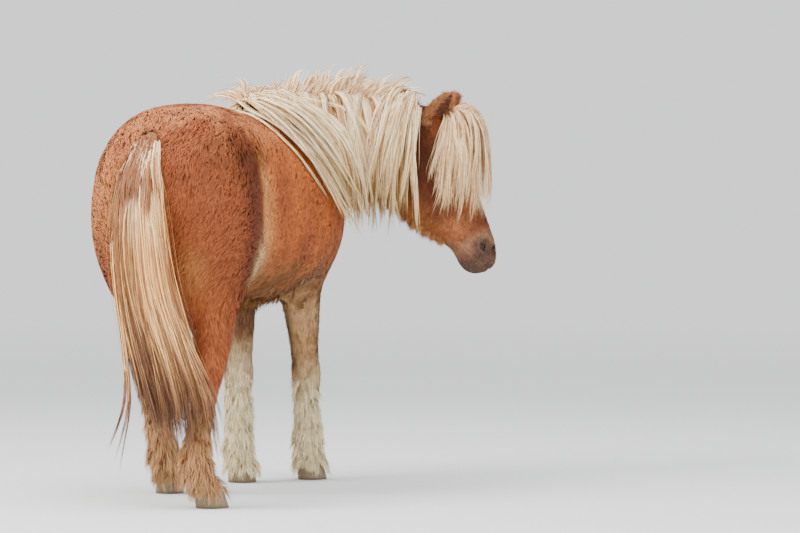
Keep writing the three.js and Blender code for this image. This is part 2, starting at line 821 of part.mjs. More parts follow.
function maneLocks() {
  const locks = { neck_base: [], neck_upper: [] };
  const hang = (share, hair) => {
    locks[share < crestParting ? 'neck_base' : 'neck_upper'].push(maneLock(share, hair));
  };
  for (let i = 0; i < maneFall.count; i += 1) {
    const t = (i + draw(0.4, 0.6)) / maneFall.count;
    const share = mix(crestStart, crestEnd, t);
    const layer = maneLayers[i % maneLayers.length];
    const rise = layer.rise * Math.sin(Math.PI * t) * draw(0.8, 1.3);
    hang(share, { ...maneFall, ...layer, rise, length: maneLength(share) + 2 * rise });
  }
  for (let i = 0; i < maneLeft.count; i += 1) {
    const t = (i + draw(0.3, 0.7)) / maneLeft.count;
    hang(mix(maneLeftSpan.from, maneLeftSpan.to, t), { ...maneLeft, length: draw(...maneLeftSpan.lengths) });
  }
  for (let i = 0; i < maneRear.count; i += 1) {
    const back = maneRearSpan.back + maneRearSpan.backStep * i;
    const share = crestStart + maneRearSpan.step * i;
    hang(share, { ...maneRear, back, length: draw(...maneRearSpan.lengths) });
  }
  return locks;
}

// Forelock: locks from between the ears, fanned from down the face to back over its right side
const forelock = { count: 8, width: 50, stations: 6, stiffness: 0.7 };
const forelockRoots = { along: [4, 20], out: 50, left: [16, -34] };
const forelockFan = { aside: [0.5, -1.3], up: 0.12, back: 0.42, lean: 0.12, rise: 10 };
const forelockLength = { edge: 235, middle: 275, uneven: [-25, 15] };
const forelockHeights = [8, 14, 20];

function forelockLocks() {
  const locks = [];
  for (let i = 0; i < forelock.count; i += 1) {
    const t = (i + 0.5) / forelock.count;
    const { along, out, left } = forelockRoots;
    const root = toSkin(onHead(draw(...along), out, mix(...left, t)));
    const aside = mix(...forelockFan.aside, t);
    const start = browWay.clone().multiplyScalar(1 - 0.95 * t).addScaledVector(headLeft, aside)
      .addScaledVector(upWay, forelockFan.up * (1 - t));
    const lie = () => muzzleWay.clone().multiplyScalar(0.7 * (1 - t)).addScaledVector(fallWay, t + 0.3)
      .addScaledVector(headLeft, forelockFan.lean * aside)
      .addScaledVector(faceWay, -forelockFan.back * t * t).normalize();
    const length = mix(forelockLength.edge, forelockLength.middle, Math.sin(Math.PI * t))
      + draw(...forelockLength.uneven);
    const height = forelockHeights[i % forelockHeights.length];
    const rise = forelockFan.rise * (1 - t);
    locks.push(drapedLock({ ...forelock, root, start, lie, length, height, rise, sunk: 14 }, forelock.width));
  }
  return locks;
}

// The mane's front end: locks from behind the ears that hang down the cheek
const pollLock = { count: 2, width: 56, stations: 6, stiffness: 0.8, height: 14, sunk: 14, length: 350 };
const pollRoots = { along: [-4, 8], out: -14, left: [-8, -36] };

function pollLocks() {
  const locks = [];
  for (let i = 0; i < pollLock.count; i += 1) {
    const t = (i + 0.5) / pollLock.count;
    const root = toSkin(onHead(mix(...pollRoots.along, t), pollRoots.out, mix(...pollRoots.left, t)));
    const start = headLeft.clone().negate().addScaledVector(upWay, 0.4);
    locks.push(drapedLock({ ...pollLock, root, start, lie: () => fallWay }, pollLock.width));
  }
  return locks;
}

// Long hair under the jaw
const beard = { count: 8, width: 30, stations: 4, stiffness: 0.6, height: 3, sunk: 12 };
const beardRoots = { along: [140, 300], out: [-175, -90], left: 16 };
const beardLengths = [55, 75];

function beardLocks() {
  const locks = [];
  for (let i = 0; i < beard.count; i += 1) {
    const t = (i + draw(0.3, 0.7)) / beard.count;
    const left = i % 2 === 0 ? beardRoots.left : -beardRoots.left;
    const root = toSkin(onHead(mix(...beardRoots.along, t), mix(...beardRoots.out, t), left));
    const start = muzzleWay.clone().multiplyScalar(0.3).sub(browWay);
    const lie = () => fallWay;
    locks.push(drapedLock({ ...beard, root, start, lie, length: draw(...beardLengths) }, beard.width));
  }
  return locks;
}

// Tail: a dock of flesh, and locks that leave it all round and fall together
const tailLine = new THREE.CatmullRomCurve3([
  [30, 8, 900], [-20, 8, 888], [-58, 18, 800], [-88, 4, 680], [-112, -24, 540], [-144, -76, 400],
  [-178, -136, 250], [-206, -166, 96],
].map((place) => new THREE.Vector3(...place)));
const tailWidths = [30, 44, 64, 72, 76, 84, 90, 72];
const tailDepths = [12, 16, 28, 34, 38, 38, 34, 24];
const dockShare = 0.3;
const dock = { width: 32, depth: 22, taper: 0.5, rings: 8, sides: 10 };
const tailLocks = { count: 18, width: 58, stations: 7, sway: 0.06, clear: 14 };
const tailRoots = [0.06, 0.26];
const tailTips = { inner: 1, outer: 0.93, uneven: [-0.05, 0] };
const tailStrays = [
  { aside: -0.98, stray: -1.5, width: 26, to: 1 },
  { aside: 0.86, stray: 0.4, width: 34, to: 0.96 },
];
const rearWay = new THREE.Vector3(1, 0, 0);
const goldenAngle = 2.39996;

function alongList(values, share) {
  const step = THREE.MathUtils.clamp(share, 0, 0.9999) * (values.length - 1);
  const low = Math.floor(step);
  return mix(values[low], values[low + 1], step - low);
}

function tailFrame(share) {
  const place = tailLine.getPoint(share);
  const down = tailLine.getTangent(share);
  const wide = new THREE.Vector3().crossVectors(down, rearWay).normalize();
  const deep = new THREE.Vector3().crossVectors(wide, down).normalize();
  return { place, wide, deep };
}

function dockSolid() {
  const rings = [];
  for (let i = 0; i < dock.rings; i += 1) {
    const t = i / dock.rings;
    const { place, wide, deep } = tailFrame(t * dockShare);
    const size = 1 - dock.taper * t;
    const ring = [];
    for (let k = 0; k < dock.sides; k += 1) {
      const turn = (2 * Math.PI * k) / dock.sides;
      ring.push(place.clone()
        .addScaledVector(wide, dock.width * size * Math.cos(turn))
        .addScaledVector(deep, dock.depth * size * Math.sin(turn)));
    }
    rings.push(ring);
  }
  return ringShell(rings, tailFrame(0).place, tailFrame(dockShare).place).solid();
}

function tailLock({ aside, behindDock, from, to, width = tailLocks.width, stray = 0 }) {
  const path = [];
  const outWays = [];
  const sway = draw(-tailLocks.sway, tailLocks.sway);
  for (let k = 0; k < tailLocks.stations; k += 1) {
    const t = k / (tailLocks.stations - 1);
    const share = mix(from, to, t);
    const { place, wide, deep } = tailFrame(share);
    const spread = THREE.MathUtils.smoothstep(t, 0, 0.3);
    const reachAside = mix(dock.width, alongList(tailWidths, share), spread);
    const reachBack = mix(dock.depth / 2, alongList(tailDepths, share), spread);
    const spot = place
      .addScaledVector(wide, (aside + stray * t ** 5 + sway * Math.sin(1.5 * Math.PI * t)) * reachAside)
      .addScaledVector(deep, behindDock * reachBack);
    const lift = (k === 0 ? 0 : tailLocks.clear) - hairGround(spot);
    if (k > 0 && lift > 0) {
      spot.addScaledVector(steepest(spot, hairGround), lift);
    }
    path.push(spot);
    outWays.push(deep.clone().multiplyScalar(Math.sign(behindDock) || 1)
      .addScaledVector(wide, aside * 0.8).normalize());
  }
  return lockSolid(path, outWays, width);
}

function tailSolid() {
  const locks = [];
  for (let i = 0; i < tailLocks.count; i += 1) {
    const turn = i * goldenAngle;
    const reach = Math.sqrt((i + 0.5) / tailLocks.count);
    const from = draw(...tailRoots);
    const to = mix(tailTips.inner, tailTips.outer, reach) + draw(...tailTips.uneven);
    locks.push(tailLock({ aside: reach * Math.cos(turn), behindDock: reach * Math.sin(turn), from, to }));
  }
  tailStrays.forEach((lock) => locks.push(tailLock({ ...lock, behindDock: -0.4, from: tailRoots[1] })));
  return joinAll([dockSolid(), ...locks]);
}

// Feather: long hair behind each cannon and round the fetlock
const feather = { count: 6, width: 34, stations: 4, stiffness: 0.55, height: 4, sunk: 9 };
const featherSpan = { top: 215, bottom: 78, turns: [0.15, 1.1], lengths: [62, 88] };

function featherLocks(leg) {
  const { forward, left } = hoofFrame(leg);
  const locks = [];
  for (let i = 0; i < feather.count; i += 1) {
    const t = (i + 0.5) / feather.count;
    const height = mix(featherSpan.top, featherSpan.bottom, t);
    const girth = leg.fine.reduce((best, piece) => (
      Math.abs(piece.place.z - height) < Math.abs(best.place.z - height) ? piece : best));
    const turn = (i % 2 === 0 ? 1 : -1) * draw(...featherSpan.turns);
    const back = forward.clone().multiplyScalar(-Math.cos(turn)).addScaledVector(left, Math.sin(turn));
    const root = toSkin(girth.place.clone().addScaledVector(back, girth.lower));
    const start = back.clone().addScaledVector(fallWay, 1.2);
    const lie = () => fallWay.clone().addScaledVector(back, 0.12).normalize();
    const length = draw(...featherSpan.lengths);
    locks.push(drapedLock({ ...feather, root, start, lie, length }, feather.width));
  }
  return locks;
}

// Lids: two folds that meet at the corners of the eye
const lidHalfLength = 15;
const lidHalfHeight = 9.5;
const lidThickness = [3.6, 2.8];
const lidStations = 8;
const lidOverrun = 0.05;
const lidLift = 1.4;
const lidCorners = [[1.5, 0], [0, 1], [-1.5, 0], [0, -1]];

function middleOf(ring) {
  return ring.reduce((sum, point) => sum.add(point), new THREE.Vector3()).divideScalar(ring.length);
}

function lidSolid({ place, out, forward, upward }, part, thickness) {
  const edge = (angle) => {
    const x = lidHalfLength * Math.cos(angle);
    const y = part * lidHalfHeight * Math.sin(angle);
    const z = Math.sqrt((eyeRadius + lidLift) ** 2 - x * x - y * y);
    return place.clone().addScaledVector(forward, x).addScaledVector(upward, y).addScaledVector(out, z);
  };
  const rings = [];
  for (let i = 0; i <= lidStations; i += 1) {
    const t = i / lidStations;
    const angle = Math.PI * mix(-lidOverrun, 1 + lidOverrun, t);
    const spot = edge(angle);
    const tangent = edge(angle + 0.05).sub(edge(angle - 0.05)).normalize();
    const outward = out.clone().addScaledVector(tangent, -out.dot(tangent)).normalize();
    const aside = new THREE.Vector3().crossVectors(tangent, outward);
    const girth = thickness * (0.5 + 0.5 * Math.sin(Math.PI * t));
    rings.push(lidCorners.map(([across, off]) => (
      spot.clone().addScaledVector(aside, girth * across).addScaledVector(outward, girth * off))));
  }
  return ringShell(rings, middleOf(rings[0]), middleOf(rings[lidStations])).solid();
}

// Nostrils, and the line of the mouth from corner to corner
const nostrilPlace = [354, 22, 40];
const nostrilReach = [15, 8, 12];
const nostrilTilt = 0.5;
const mouthCorner = { along: 318, out: -34 };
const mouthFront = { along: 388, out: 4 };
const mouthHalfWidth = 60;
const mouthLineDepth = 3;
const mouthLineWidth = 3.2;
const mouthStations = 14;

function nostril(sign) {
  const place = toSkin(onHead(nostrilPlace[0], nostrilPlace[1], sign * nostrilPlace[2]));
  const long = muzzleWay.clone().addScaledVector(browWay, -nostrilTilt).normalize();
  const short = browWay.clone().addScaledVector(muzzleWay, nostrilTilt).normalize();
  return ball(place, nostrilReach, [long, short, headLeft], 10, 8);
}

function mouthLine() {
  const rings = [];
  for (let i = 0; i <= mouthStations; i += 1) {
    const turn = Math.PI * (i / mouthStations);
    const reach = Math.sin(turn);
    const place = toSkin(onHead(mix(mouthCorner.along, mouthFront.along, reach),
      mix(mouthCorner.out, mouthFront.out, reach ** 1.3), Math.cos(turn) * mouthHalfWidth));
    const outward = skinNormal(place);
    const side = headLeft.clone().addScaledVector(muzzleWay, 0.01);
    const across = new THREE.Vector3().crossVectors(outward, side).normalize();
    rings.push([[1, 0], [0, 1], [-1, 0], [0, -1]].map(([aside, off]) => (place.clone()
      .addScaledVector(across, (aside * mouthLineWidth) / 2)
      .addScaledVector(outward, off * mouthLineDepth))));
  }
  return ringShell(rings, middleOf(rings[0]), middleOf(rings[mouthStations])).solid();
}

// Hair and features are fused to what they grow from
const mane = maneLocks();
solids.tail = largest(clearOf(tailSolid(), solids.torso));
const headLocks = joinAll([...forelockLocks(), ...pollLocks(), ...beardLocks()]);
solids.head = solids.head.add(ahead(headLocks, headParting));
const pollMane = behind(ahead(joinAll(mane.neck_upper), neckParting), headParting);
solids.neck_upper = largest(solids.neck_upper.add(pollMane));
const shoulderMane = clearOf(behind(joinAll(mane.neck_base), neckParting), solids.torso);
solids.neck_base = largest(solids.neck_base.add(shoulderMane));
Object.entries(legs).forEach(([name, leg]) => {
  const lower = `leg_${name}_lower`;
  solids[lower] = largest(clearOf(joinAll([solids[lower], ...featherLocks(leg)]), solids[`hoof_${name}`]));
});

// Eyes in their sockets, ears on the poll
const sides = { left: 1, right: -1 };

Object.entries(sides).forEach(([name, sign]) => {
  const surface = toSkin(onHead(...eyePlace, sign * 80));
  const out = skinNormal(surface);
  const place = surface.clone().addScaledVector(out, eyeProud - eyeRadius);
  const forward = muzzleWay.clone().addScaledVector(out, -out.dot(muzzleWay)).normalize();
  const upward = browWay.clone().addScaledVector(out, -out.dot(browWay)).normalize();
  [1, -1].forEach((part, i) => {
    solids.head = solids.head.add(lidSolid({ place, out, forward, upward }, part, lidThickness[i]));
  });
  const round = [eyeRadius, eyeRadius, eyeRadius];
  const socket = round.map((radius) => radius + partingGap);
  solids.head = solids.head.subtract(ball(place, socket, headWays)).subtract(nostril(sign));
  solids[`eye_${name}`] = ball(place, round, headWays);
});
solids.head = largest(solids.head.subtract(mouthLine()));
Object.entries(sides).forEach(([name, sign]) => {
  solids[`ear_${name}`] = largest(clearOf(earSolid(sign), solids.head));
});

// Colours of the coat, skin, horn and eyes
const looks = {
  chestnut: { color: 0xa8602f, roughness: 0.75, metalness: 0 },
  flaxen: { color: 0xdcc39a, roughness: 0.7, metalness: 0 },
  stocking: { color: 0xb59a7c, roughness: 0.8, metalness: 0 },
  horn: { color: 0x8d8070, roughness: 0.55, metalness: 0 },
  eye: { color: 0x1c120c, roughness: 0.1, metalness: 0 },
};

function lookOf(name) {
  if (name.startsWith('eye')) {
    return looks.eye;
  }
  if (name.startsWith('hoof')) {
    return looks.horn;
  }
  if (name.startsWith('tail') || name.startsWith('neck')) {
    return looks.flaxen;
  }
  return name.endsWith('lower') ? looks.stocking : looks.chestnut;
}

function meshOf(name, solid) {
  const { vertProperties, triVerts } = solid.getMesh();
  const geometry = new THREE.BufferGeometry();
  geometry.setAttribute('position', new THREE.BufferAttribute(new Float32Array(vertProperties), 3));
  geometry.setIndex(new THREE.BufferAttribute(new Uint32Array(triVerts), 1));
  const mesh = new THREE.Mesh(geometry, new THREE.MeshStandardMaterial(lookOf(name)));
  mesh.name = name;
  return mesh;
}

// The pony stands with the middle of its box over the origin
const pony = new THREE.Group();
Object.keys(solids).sort().forEach((name) => {
  pony.add(meshOf(name, solids[name]));
});
const whole = new THREE.Box3().setFromObject(pony);
const middle = whole.getCenter(new THREE.Vector3());
pony.position.set(-middle.x, -middle.y, -whole.min.z);

export default pony;
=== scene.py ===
# Looks of a standing Shetland pony: one skin, its coat, mane, forelock, tail, feather, eyes and hooves.
# The pony's sizes are in millimetres in its own place; they are moved onto the solids, in metres.
import math
import bmesh
import bpy
import numpy as np
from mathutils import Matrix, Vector


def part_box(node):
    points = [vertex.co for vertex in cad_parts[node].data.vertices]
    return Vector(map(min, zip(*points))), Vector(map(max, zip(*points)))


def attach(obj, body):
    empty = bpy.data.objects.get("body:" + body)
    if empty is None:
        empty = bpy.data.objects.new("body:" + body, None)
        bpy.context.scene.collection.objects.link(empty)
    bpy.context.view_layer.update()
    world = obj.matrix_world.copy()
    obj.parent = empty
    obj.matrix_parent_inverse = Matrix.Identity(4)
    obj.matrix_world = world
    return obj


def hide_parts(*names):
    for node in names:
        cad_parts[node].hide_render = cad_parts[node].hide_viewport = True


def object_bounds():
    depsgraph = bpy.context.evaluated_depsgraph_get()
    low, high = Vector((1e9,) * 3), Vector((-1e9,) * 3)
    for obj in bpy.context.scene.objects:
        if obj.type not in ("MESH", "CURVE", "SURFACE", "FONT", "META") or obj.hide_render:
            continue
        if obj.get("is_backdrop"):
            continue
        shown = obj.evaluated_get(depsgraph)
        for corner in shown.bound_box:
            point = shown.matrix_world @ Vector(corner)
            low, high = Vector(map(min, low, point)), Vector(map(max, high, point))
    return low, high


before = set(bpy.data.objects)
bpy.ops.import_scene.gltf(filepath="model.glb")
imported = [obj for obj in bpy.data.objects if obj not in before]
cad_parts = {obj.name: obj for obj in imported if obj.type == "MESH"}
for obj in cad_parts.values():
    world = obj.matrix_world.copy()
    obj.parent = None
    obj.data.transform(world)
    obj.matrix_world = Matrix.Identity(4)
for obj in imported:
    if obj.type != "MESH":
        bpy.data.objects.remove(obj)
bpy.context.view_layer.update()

rng = np.random.default_rng(20)

# Driving dimensions of the head, hooves, eyes and ears
HEAD_YAW = math.radians(-79.5)
HEAD_TILT = math.radians(21)
POLL = np.array([973.0, -390.0, 946.0])
HEAD_LENGTH = 385.0
HOOF_HEIGHT = 52.0
HOOF_WIDTH = 37.0
HOOF_LENGTH = 47.0
HOOF_HEEL = 41.0
HOOF_SET = 12.0
CORONET_SLOPE = 0.28
EYE_RADIUS = 18.0
EYE_PLACE = (128.0, 30.0)
EYE_PROUD = 5.0
EAR_LENGTH = 105.0
EAR_WIDTH = 35.0
EAR_DEPTH = 30.0
EAR_PLACE = (12.0, 2.0, 46.0)

UP = np.array([0.0, 0.0, 1.0])
FACE = np.array([math.cos(HEAD_YAW), math.sin(HEAD_YAW), 0.0])
MUZZLE = -math.cos(HEAD_TILT) * UP + math.sin(HEAD_TILT) * FACE
BROW = math.cos(HEAD_TILT) * FACE + math.sin(HEAD_TILT) * UP
HEAD_LEFT = np.array([-FACE[1], FACE[0], 0.0])


def on_head(along, out, left):
    return POLL + along * MUZZLE + out * BROW + left * HEAD_LEFT


def on_heads(*places):
    """One row for each place along, out and left on the head."""
    return np.array([on_head(*place) for place in np.stack(np.broadcast_arrays(*places), 1)])


def unit(v):
    v = np.asarray(v, float)
    return v / (np.linalg.norm(v, axis=-1, keepdims=True) + 1e-12)


def smooth(low, high, value):
    t = np.clip((value - low) / (high - low), 0, 1)
    return t * t * (3 - 2 * t)


def mix(a, b, t):
    return a + (b - a) * t


# Sections of the tubes of flesh: place, half width, reach up, reach down, way up
def section(place, side, upper, lower, facing=(0, 0, 1)):
    return [*place, side, upper, lower, *facing]


def rolled(degrees):
    return (0, math.sin(math.radians(degrees)), math.cos(math.radians(degrees)))


def head_section(along, out, side, upper, lower):
    return section(on_head(along, out, 0), side, upper, lower, BROW)


HIND_GIRTHS = [
    (76, 140, 150), (68, 130, 125), (55, 92, 88), (45, 60, 56), (37, 40, 46), (37, 38, 45),
    (30, 30, 32), (24, 26, 26), (26, 27, 30), (31, 30, 34), (27, 27, 28), (33, 34, 34),
]
FORE_GIRTHS = [
    (70, 100, 100), (61, 85, 85), (49, 62, 66), (37, 43, 43), (32, 34, 34), (36, 38, 34),
    (30, 30, 30), (24, 24, 26), (27, 26, 30), (31, 30, 34), (27, 27, 28), (33, 34, 34),
]
TOE_TURN_TOP = 400
TOE_TURN_DEPTH = 250


def leg_sections(girths, toe, path):
    rows = []
    for place, girth in zip(path, girths):
        turn = math.radians(toe) * min(max((TOE_TURN_TOP - place[2]) / TOE_TURN_DEPTH, 0), 1)
        rows.append(section(place, *girth, (math.cos(turn), math.sin(turn), 0)))
    return rows


TRUNK = dict(power=2.5, ends=(110, 110), blend=0, rows=[
    section((100, 4, 725), 172, 218, 200),
    section((160, 4, 732), 195, 262, 215),
    section((240, 2, 735), 203, 270, 230),
    section((335, 0, 735), 188, 262, 240, rolled(1)),
    section((430, -3, 727), 220, 252, 237, rolled(3)),
    section((540, -6, 720), 240, 250, 236, rolled(4)),
    section((650, -8, 720), 228, 258, 228, rolled(5)),
    section((740, -8, 722), 195, 248, 205, rolled(6)),
    section((810, -10, 728), 155, 190, 170, rolled(6)),
])
NECK = dict(power=2.1, ends=(100, 60), blend=70, rows=[
    section((620, 0, 770), 140, 180, 170),
    section((730, -10, 800), 130, 185, 170),
    section((830, -60, 835), 105, 165, 160),
    section((910, -155, 862), 88, 142, 142),
    section((962, -262, 868), 78, 130, 130),
    section((975, -345, 870), 72, 118, 112),
    section((972, -400, 880), 60, 90, 90),
])
HEAD = dict(power=2.25, ends=(40, 20), blend=35, rows=[
    head_section(0, -10, 55, 45, 60),
    head_section(50, -20, 75, 75, 90),
    head_section(110, -30, 84, 95, 118),
    head_section(155, -40, 80, 100, 120),
    head_section(200, -36, 68, 92, 108),
    head_section(255, -22, 54, 74, 82),
    head_section(310, -10, 47, 61, 62),
    head_section(355, -6, 48, 54, 54),
    head_section(HEAD_LENGTH, -6, 42, 46, 46),
])
LEG_PATHS = {
    "hind_right": (-35, HIND_GIRTHS, 60, [
        (175, -100, 660), (135, -104, 580), (85, -119, 500), (32, -143, 430), (-28, -167, 375),
        (-62, -171, 340), (-80, -170, 290), (-104, -169, 220), (-130, -168, 145), (-136, -169, 115),
        (-118, -177, 75), (-102, -185, 50)]),
    "hind_left": (20, HIND_GIRTHS, 60, [
        (210, 90, 660), (215, 88, 580), (220, 92, 500), (202, 95, 430), (185, 96, 375),
        (183, 93, 340), (203, 91, 290), (235, 89, 220), (263, 87, 145), (270, 86, 115),
        (295, 85, 75), (310, 85, 50)]),
    "fore_right": (-8, FORE_GIRTHS, 50, [
        (740, -105, 660), (735, -112, 580), (745, -112, 500), (775, -107, 400), (800, -102, 330),
        (815, -99, 285), (828, -97, 245), (842, -94, 180), (850, -91, 130), (852, -90, 105),
        (868, -88, 70), (876, -87, 50)]),
    "fore_left": (8, FORE_GIRTHS, 50, [
        (740, 85, 660), (710, 65, 580), (690, 48, 500), (692, 44, 400), (698, 46, 330),
        (700, 47, 285), (700, 46, 245), (697, 45, 180), (693, 44, 130), (692, 44, 105),
        (706, 45, 70), (713, 45, 50)]),
}
LEGS = {
    name: dict(power=2.1, ends=(80, 20), blend=blend, toe=toe, rows=leg_sections(girths, toe, path))
    for name, (toe, girths, blend, path) in LEG_PATHS.items()
}

# Muscles and bony points: place, reach, blend, on the axes of the trunk or of the head
TRUNK_WAYS = np.eye(3)
HEAD_WAYS = np.array([MUZZLE, BROW, HEAD_LEFT])
MUSCLES = [
    ((700, 8, 925), (110, 35, 50), 50),
    ((130, -102, 705), (140, 98, 185), 50),
    ((140, 106, 712), (140, 96, 175), 50),
    ((85, -88, 600), (90, 72, 150), 50),
    ((100, 88, 610), (90, 72, 140), 50),
    ((760, -138, 730), (90, 62, 130), 50),
    ((760, 125, 730), (90, 70, 130), 50),
]
FEATURES = [(on_head(372, -34, 0), (24, 20, 26), 16)]
for sign in (1, -1):
    FEATURES += [
        (on_head(165, -78, sign * 44), (72, 58, 30), 30),
        (on_head(100, 44, sign * 56), (34, 18, 16), 18),
        (on_head(240, 12, sign * 34), (70, 16, 14), 16),
        (on_head(352, 22, sign * 30), (24, 17, 15), 14),
    ]


# The form as one field: the distance from the skin in millimetres, less than nothing inside
STEPS_BETWEEN = 3
FAR = 1000.0
BOX_MARGIN = 120.0


def spline(rows, place):
    """Rows read between their numbers, on a smooth curve that passes through each."""
    rows = np.asarray(rows, float)
    rows = np.vstack([2 * rows[0] - rows[1], rows, 2 * rows[-1] - rows[-2]])
    low = np.minimum(place.astype(int), len(rows) - 4)
    t = (place - low)[..., None]
    a, b, c, d = (rows[low + i] for i in range(4))
    bend = 2 * a - 5 * b + 4 * c - d
    twist = 3 * b - a - 3 * c + d
    return 0.5 * (2 * b + (c - a) * t + bend * t ** 2 + twist * t ** 3)


def smooth_rows(rows):
    spans = len(rows) - 1
    return spline(rows, np.arange(spans * STEPS_BETWEEN + 1) / STEPS_BETWEEN)


def prepare(tube):
    fine = tube["fine"] = smooth_rows(tube["rows"])
    reach = fine[:, 3:6].max(1)[:, None] + BOX_MARGIN
    tube["low"] = (fine[:, :3] - reach).min(0)
    tube["high"] = (fine[:, :3] + reach).max(0)
    tube["lengths"] = []
    for a, b in zip(fine[:-1], fine[1:]):
        along = b[:3] - a[:3]
        length = np.linalg.norm(along)
        along = along / length
        upper = a[6:9] + b[6:9]
        upper = unit(upper - upper.dot(along) * along)
        tube["lengths"].append((a, b, along, length, upper, np.cross(along, upper)))


def tube_reading(points, tube):
    """Distance from one tube's skin, with the place along it and the turn round it."""
    reading = np.zeros((3, len(points)))
    reading[0] = FAR
    near = np.all((points > tube["low"]) & (points < tube["high"]), 1)
    if not near.any():
        return reading
    spots = points[near]
    best = np.zeros((3, len(spots)))
    best[0] = FAR
    power = tube["power"]
    last = len(tube["lengths"]) - 1
    for i, (a, b, along, length, upper, across) in enumerate(tube["lengths"]):
        offset = spots - a[:3]
        reached = offset @ along / length
        t = np.clip(reached, 0, 1)
        rest = (reached - t) * length
        out = offset @ upper
        aside = offset @ across
        side = mix(a[3], b[3], t)
        tall = np.where(out > 0, mix(a[4], b[4], t), mix(a[5], b[5], t))
        cap = np.minimum(side, tall)
        if i == 0:
            cap = np.where(reached < 0, tube["ends"][0], cap)
        if i == last:
            cap = np.where(reached > 1, tube["ends"][1], cap)
        parts = [np.abs(aside) / side, np.abs(out) / tall, np.abs(rest) / cap]
        size = (parts[0] ** power + parts[1] ** power + parts[2] ** power) ** (1 / power) + 1e-9
        lean = power - 1
        slope = np.sqrt((parts[0] ** lean / side) ** 2 + (parts[1] ** lean / tall) ** 2
                        + (parts[2] ** lean / cap) ** 2) / size ** lean + 1e-9
        here = np.stack([(size - 1) / slope, (i + t) / (last + 1), np.arctan2(aside, out)])
        best = np.where(here[0] < best[0], here, best)
    reading[:, near] = best
    return reading


def ball_distance(points, place, reach, ways):
    parts = (points - np.asarray(place)) @ ways.T / np.asarray(reach)
    size = np.linalg.norm(parts, axis=1) + 1e-9
    slope = np.linalg.norm(parts / np.asarray(reach), axis=1) / size + 1e-9
    return (size - 1) / slope


def smooth_join(a, b, blend):
    if blend <= 0:
        return np.minimum(a, b)
    near = np.maximum(blend - np.abs(a - b), 0) / blend
    return np.minimum(a, b) - near * near * blend * 0.25


TUBES = [TRUNK, *LEGS.values(), NECK, HEAD]
for tube in TUBES:
    prepare(tube)


def flesh(points):
    points = np.asarray(points, float)
    distance = tube_reading(points, TRUNK)[0]
    for place, reach, blend in MUSCLES:
        distance = smooth_join(distance, ball_distance(points, place, reach, TRUNK_WAYS), blend)
    for tube in TUBES[1:]:
        distance = smooth_join(distance, tube_reading(points, tube)[0], tube["blend"])
    near = np.all((points > HEAD["low"]) & (points < HEAD["high"]), 1)
    if near.any():
        part = distance[near]
        for place, reach, blend in FEATURES:
            part = smooth_join(part, ball_distance(points[near], place, reach, HEAD_WAYS), blend)
        distance[near] = part
    return distance


def slope_of(points, field, step=2.0):
    ways = [field(points + step * way) - field(points - step * way) for way in np.eye(3)]
    return unit(np.stack(ways, 1))


def to_level(points, height, field=flesh, rounds=3):
    points = np.array(points, float)
    for _ in range(rounds):
        points += slope_of(points, field) * (height - field(points))[:, None]
    return points


# Hooves: an oval sole on the floor, narrower at the coronet, which slopes down to the heel
def hoof_frame(leg):
    toe = math.radians(leg["toe"])
    forward = np.array([math.cos(toe), math.sin(toe), 0.0])
    left = np.array([-forward[1], forward[0], 0.0])
    foot = np.array(leg["rows"][-1][:3], float)
    centre = np.array([foot[0], foot[1], 0.0]) + forward * HOOF_SET
    return forward, left, centre


HOOF_TUBES = []
for leg in LEGS.values():
    forward, left, centre = hoof_frame(leg)
    tube = dict(power=2.3, ends=(20, 5), blend=0, rows=[
        section(leg["rows"][-1][:3], 34, 34, 36, forward),
        section(centre, HOOF_WIDTH, HOOF_LENGTH, HOOF_HEEL, forward)])
    prepare(tube)
    HOOF_TUBES.append(tube)


def ground(points):
    distance = flesh(points)
    for tube in HOOF_TUBES:
        distance = np.minimum(distance, tube_reading(points, tube)[0])
    return distance


# Where the pony stands in the frame: its eyes lie on the eyes of the solids
def eye_frame(sign):
    place = to_level(on_head(*EYE_PLACE, sign * 80)[None], 0, rounds=8)
    out = slope_of(place, flesh)[0]
    centre = place[0] + out * (EYE_PROUD - EYE_RADIUS)
    forward = unit(MUZZLE - out.dot(MUZZLE) * out)
    upward = unit(BROW - out.dot(BROW) * out)
    return centre, out, forward, upward


EYES = {"left": eye_frame(1), "right": eye_frame(-1)}
PER_METRE = 1000
shifts = []
for name, (centre, *_) in EYES.items():
    low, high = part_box("eye_" + name)
    shifts.append(np.array((low + high) / 2) * PER_METRE - centre)
SHIFT = np.mean(shifts, 0)
SHIFT[2] = 0


def placed(points):
    return (np.asarray(points) + SHIFT) / PER_METRE


# Regions of the body, from 0 to 1
HEAD_PLACE = np.array([975.0, -330.0, 880.0])
HEAD_WAY = unit([0.06, -0.955, -0.29])
NECK_PLACE = np.array([760.0, -40.0, 830.0])
NECK_WAY = unit([0.72, -0.55, 0.3])


def head_places(points):
    offset = points - POLL
    return offset @ MUZZLE, offset @ BROW, offset @ HEAD_LEFT


def head_share(points):
    return smooth(-25, 15, (points - HEAD_PLACE) @ HEAD_WAY) * smooth(480, 520, points[:, 2])


def neck_share(points):
    reached = smooth(-30, 60, (points - NECK_PLACE) @ NECK_WAY)
    return reached * (1 - head_share(points)) * smooth(480, 560, points[:, 2])


def leg_share(points):
    return smooth(520, 420, points[:, 2])


def coat_depth(points):
    body = mix(6.0, 3.0, leg_share(points))
    return mix(body, 2.0, head_share(points))


# Markings, painted light and painted shade: linear colours from the place on the body, the same for skin
# and coat
DEEPEN = 1.13
RAISE = 1.15


def tone(red, green, blue):
    """A colour as it shall look in soft light, as the linear colour of the surface."""
    value = np.array([red, green, blue]) / 255
    linear = np.where(value <= 0.04045, value / 12.92, ((value + 0.055) / 1.055) ** 2.4)
    return RAISE * linear ** DEEPEN


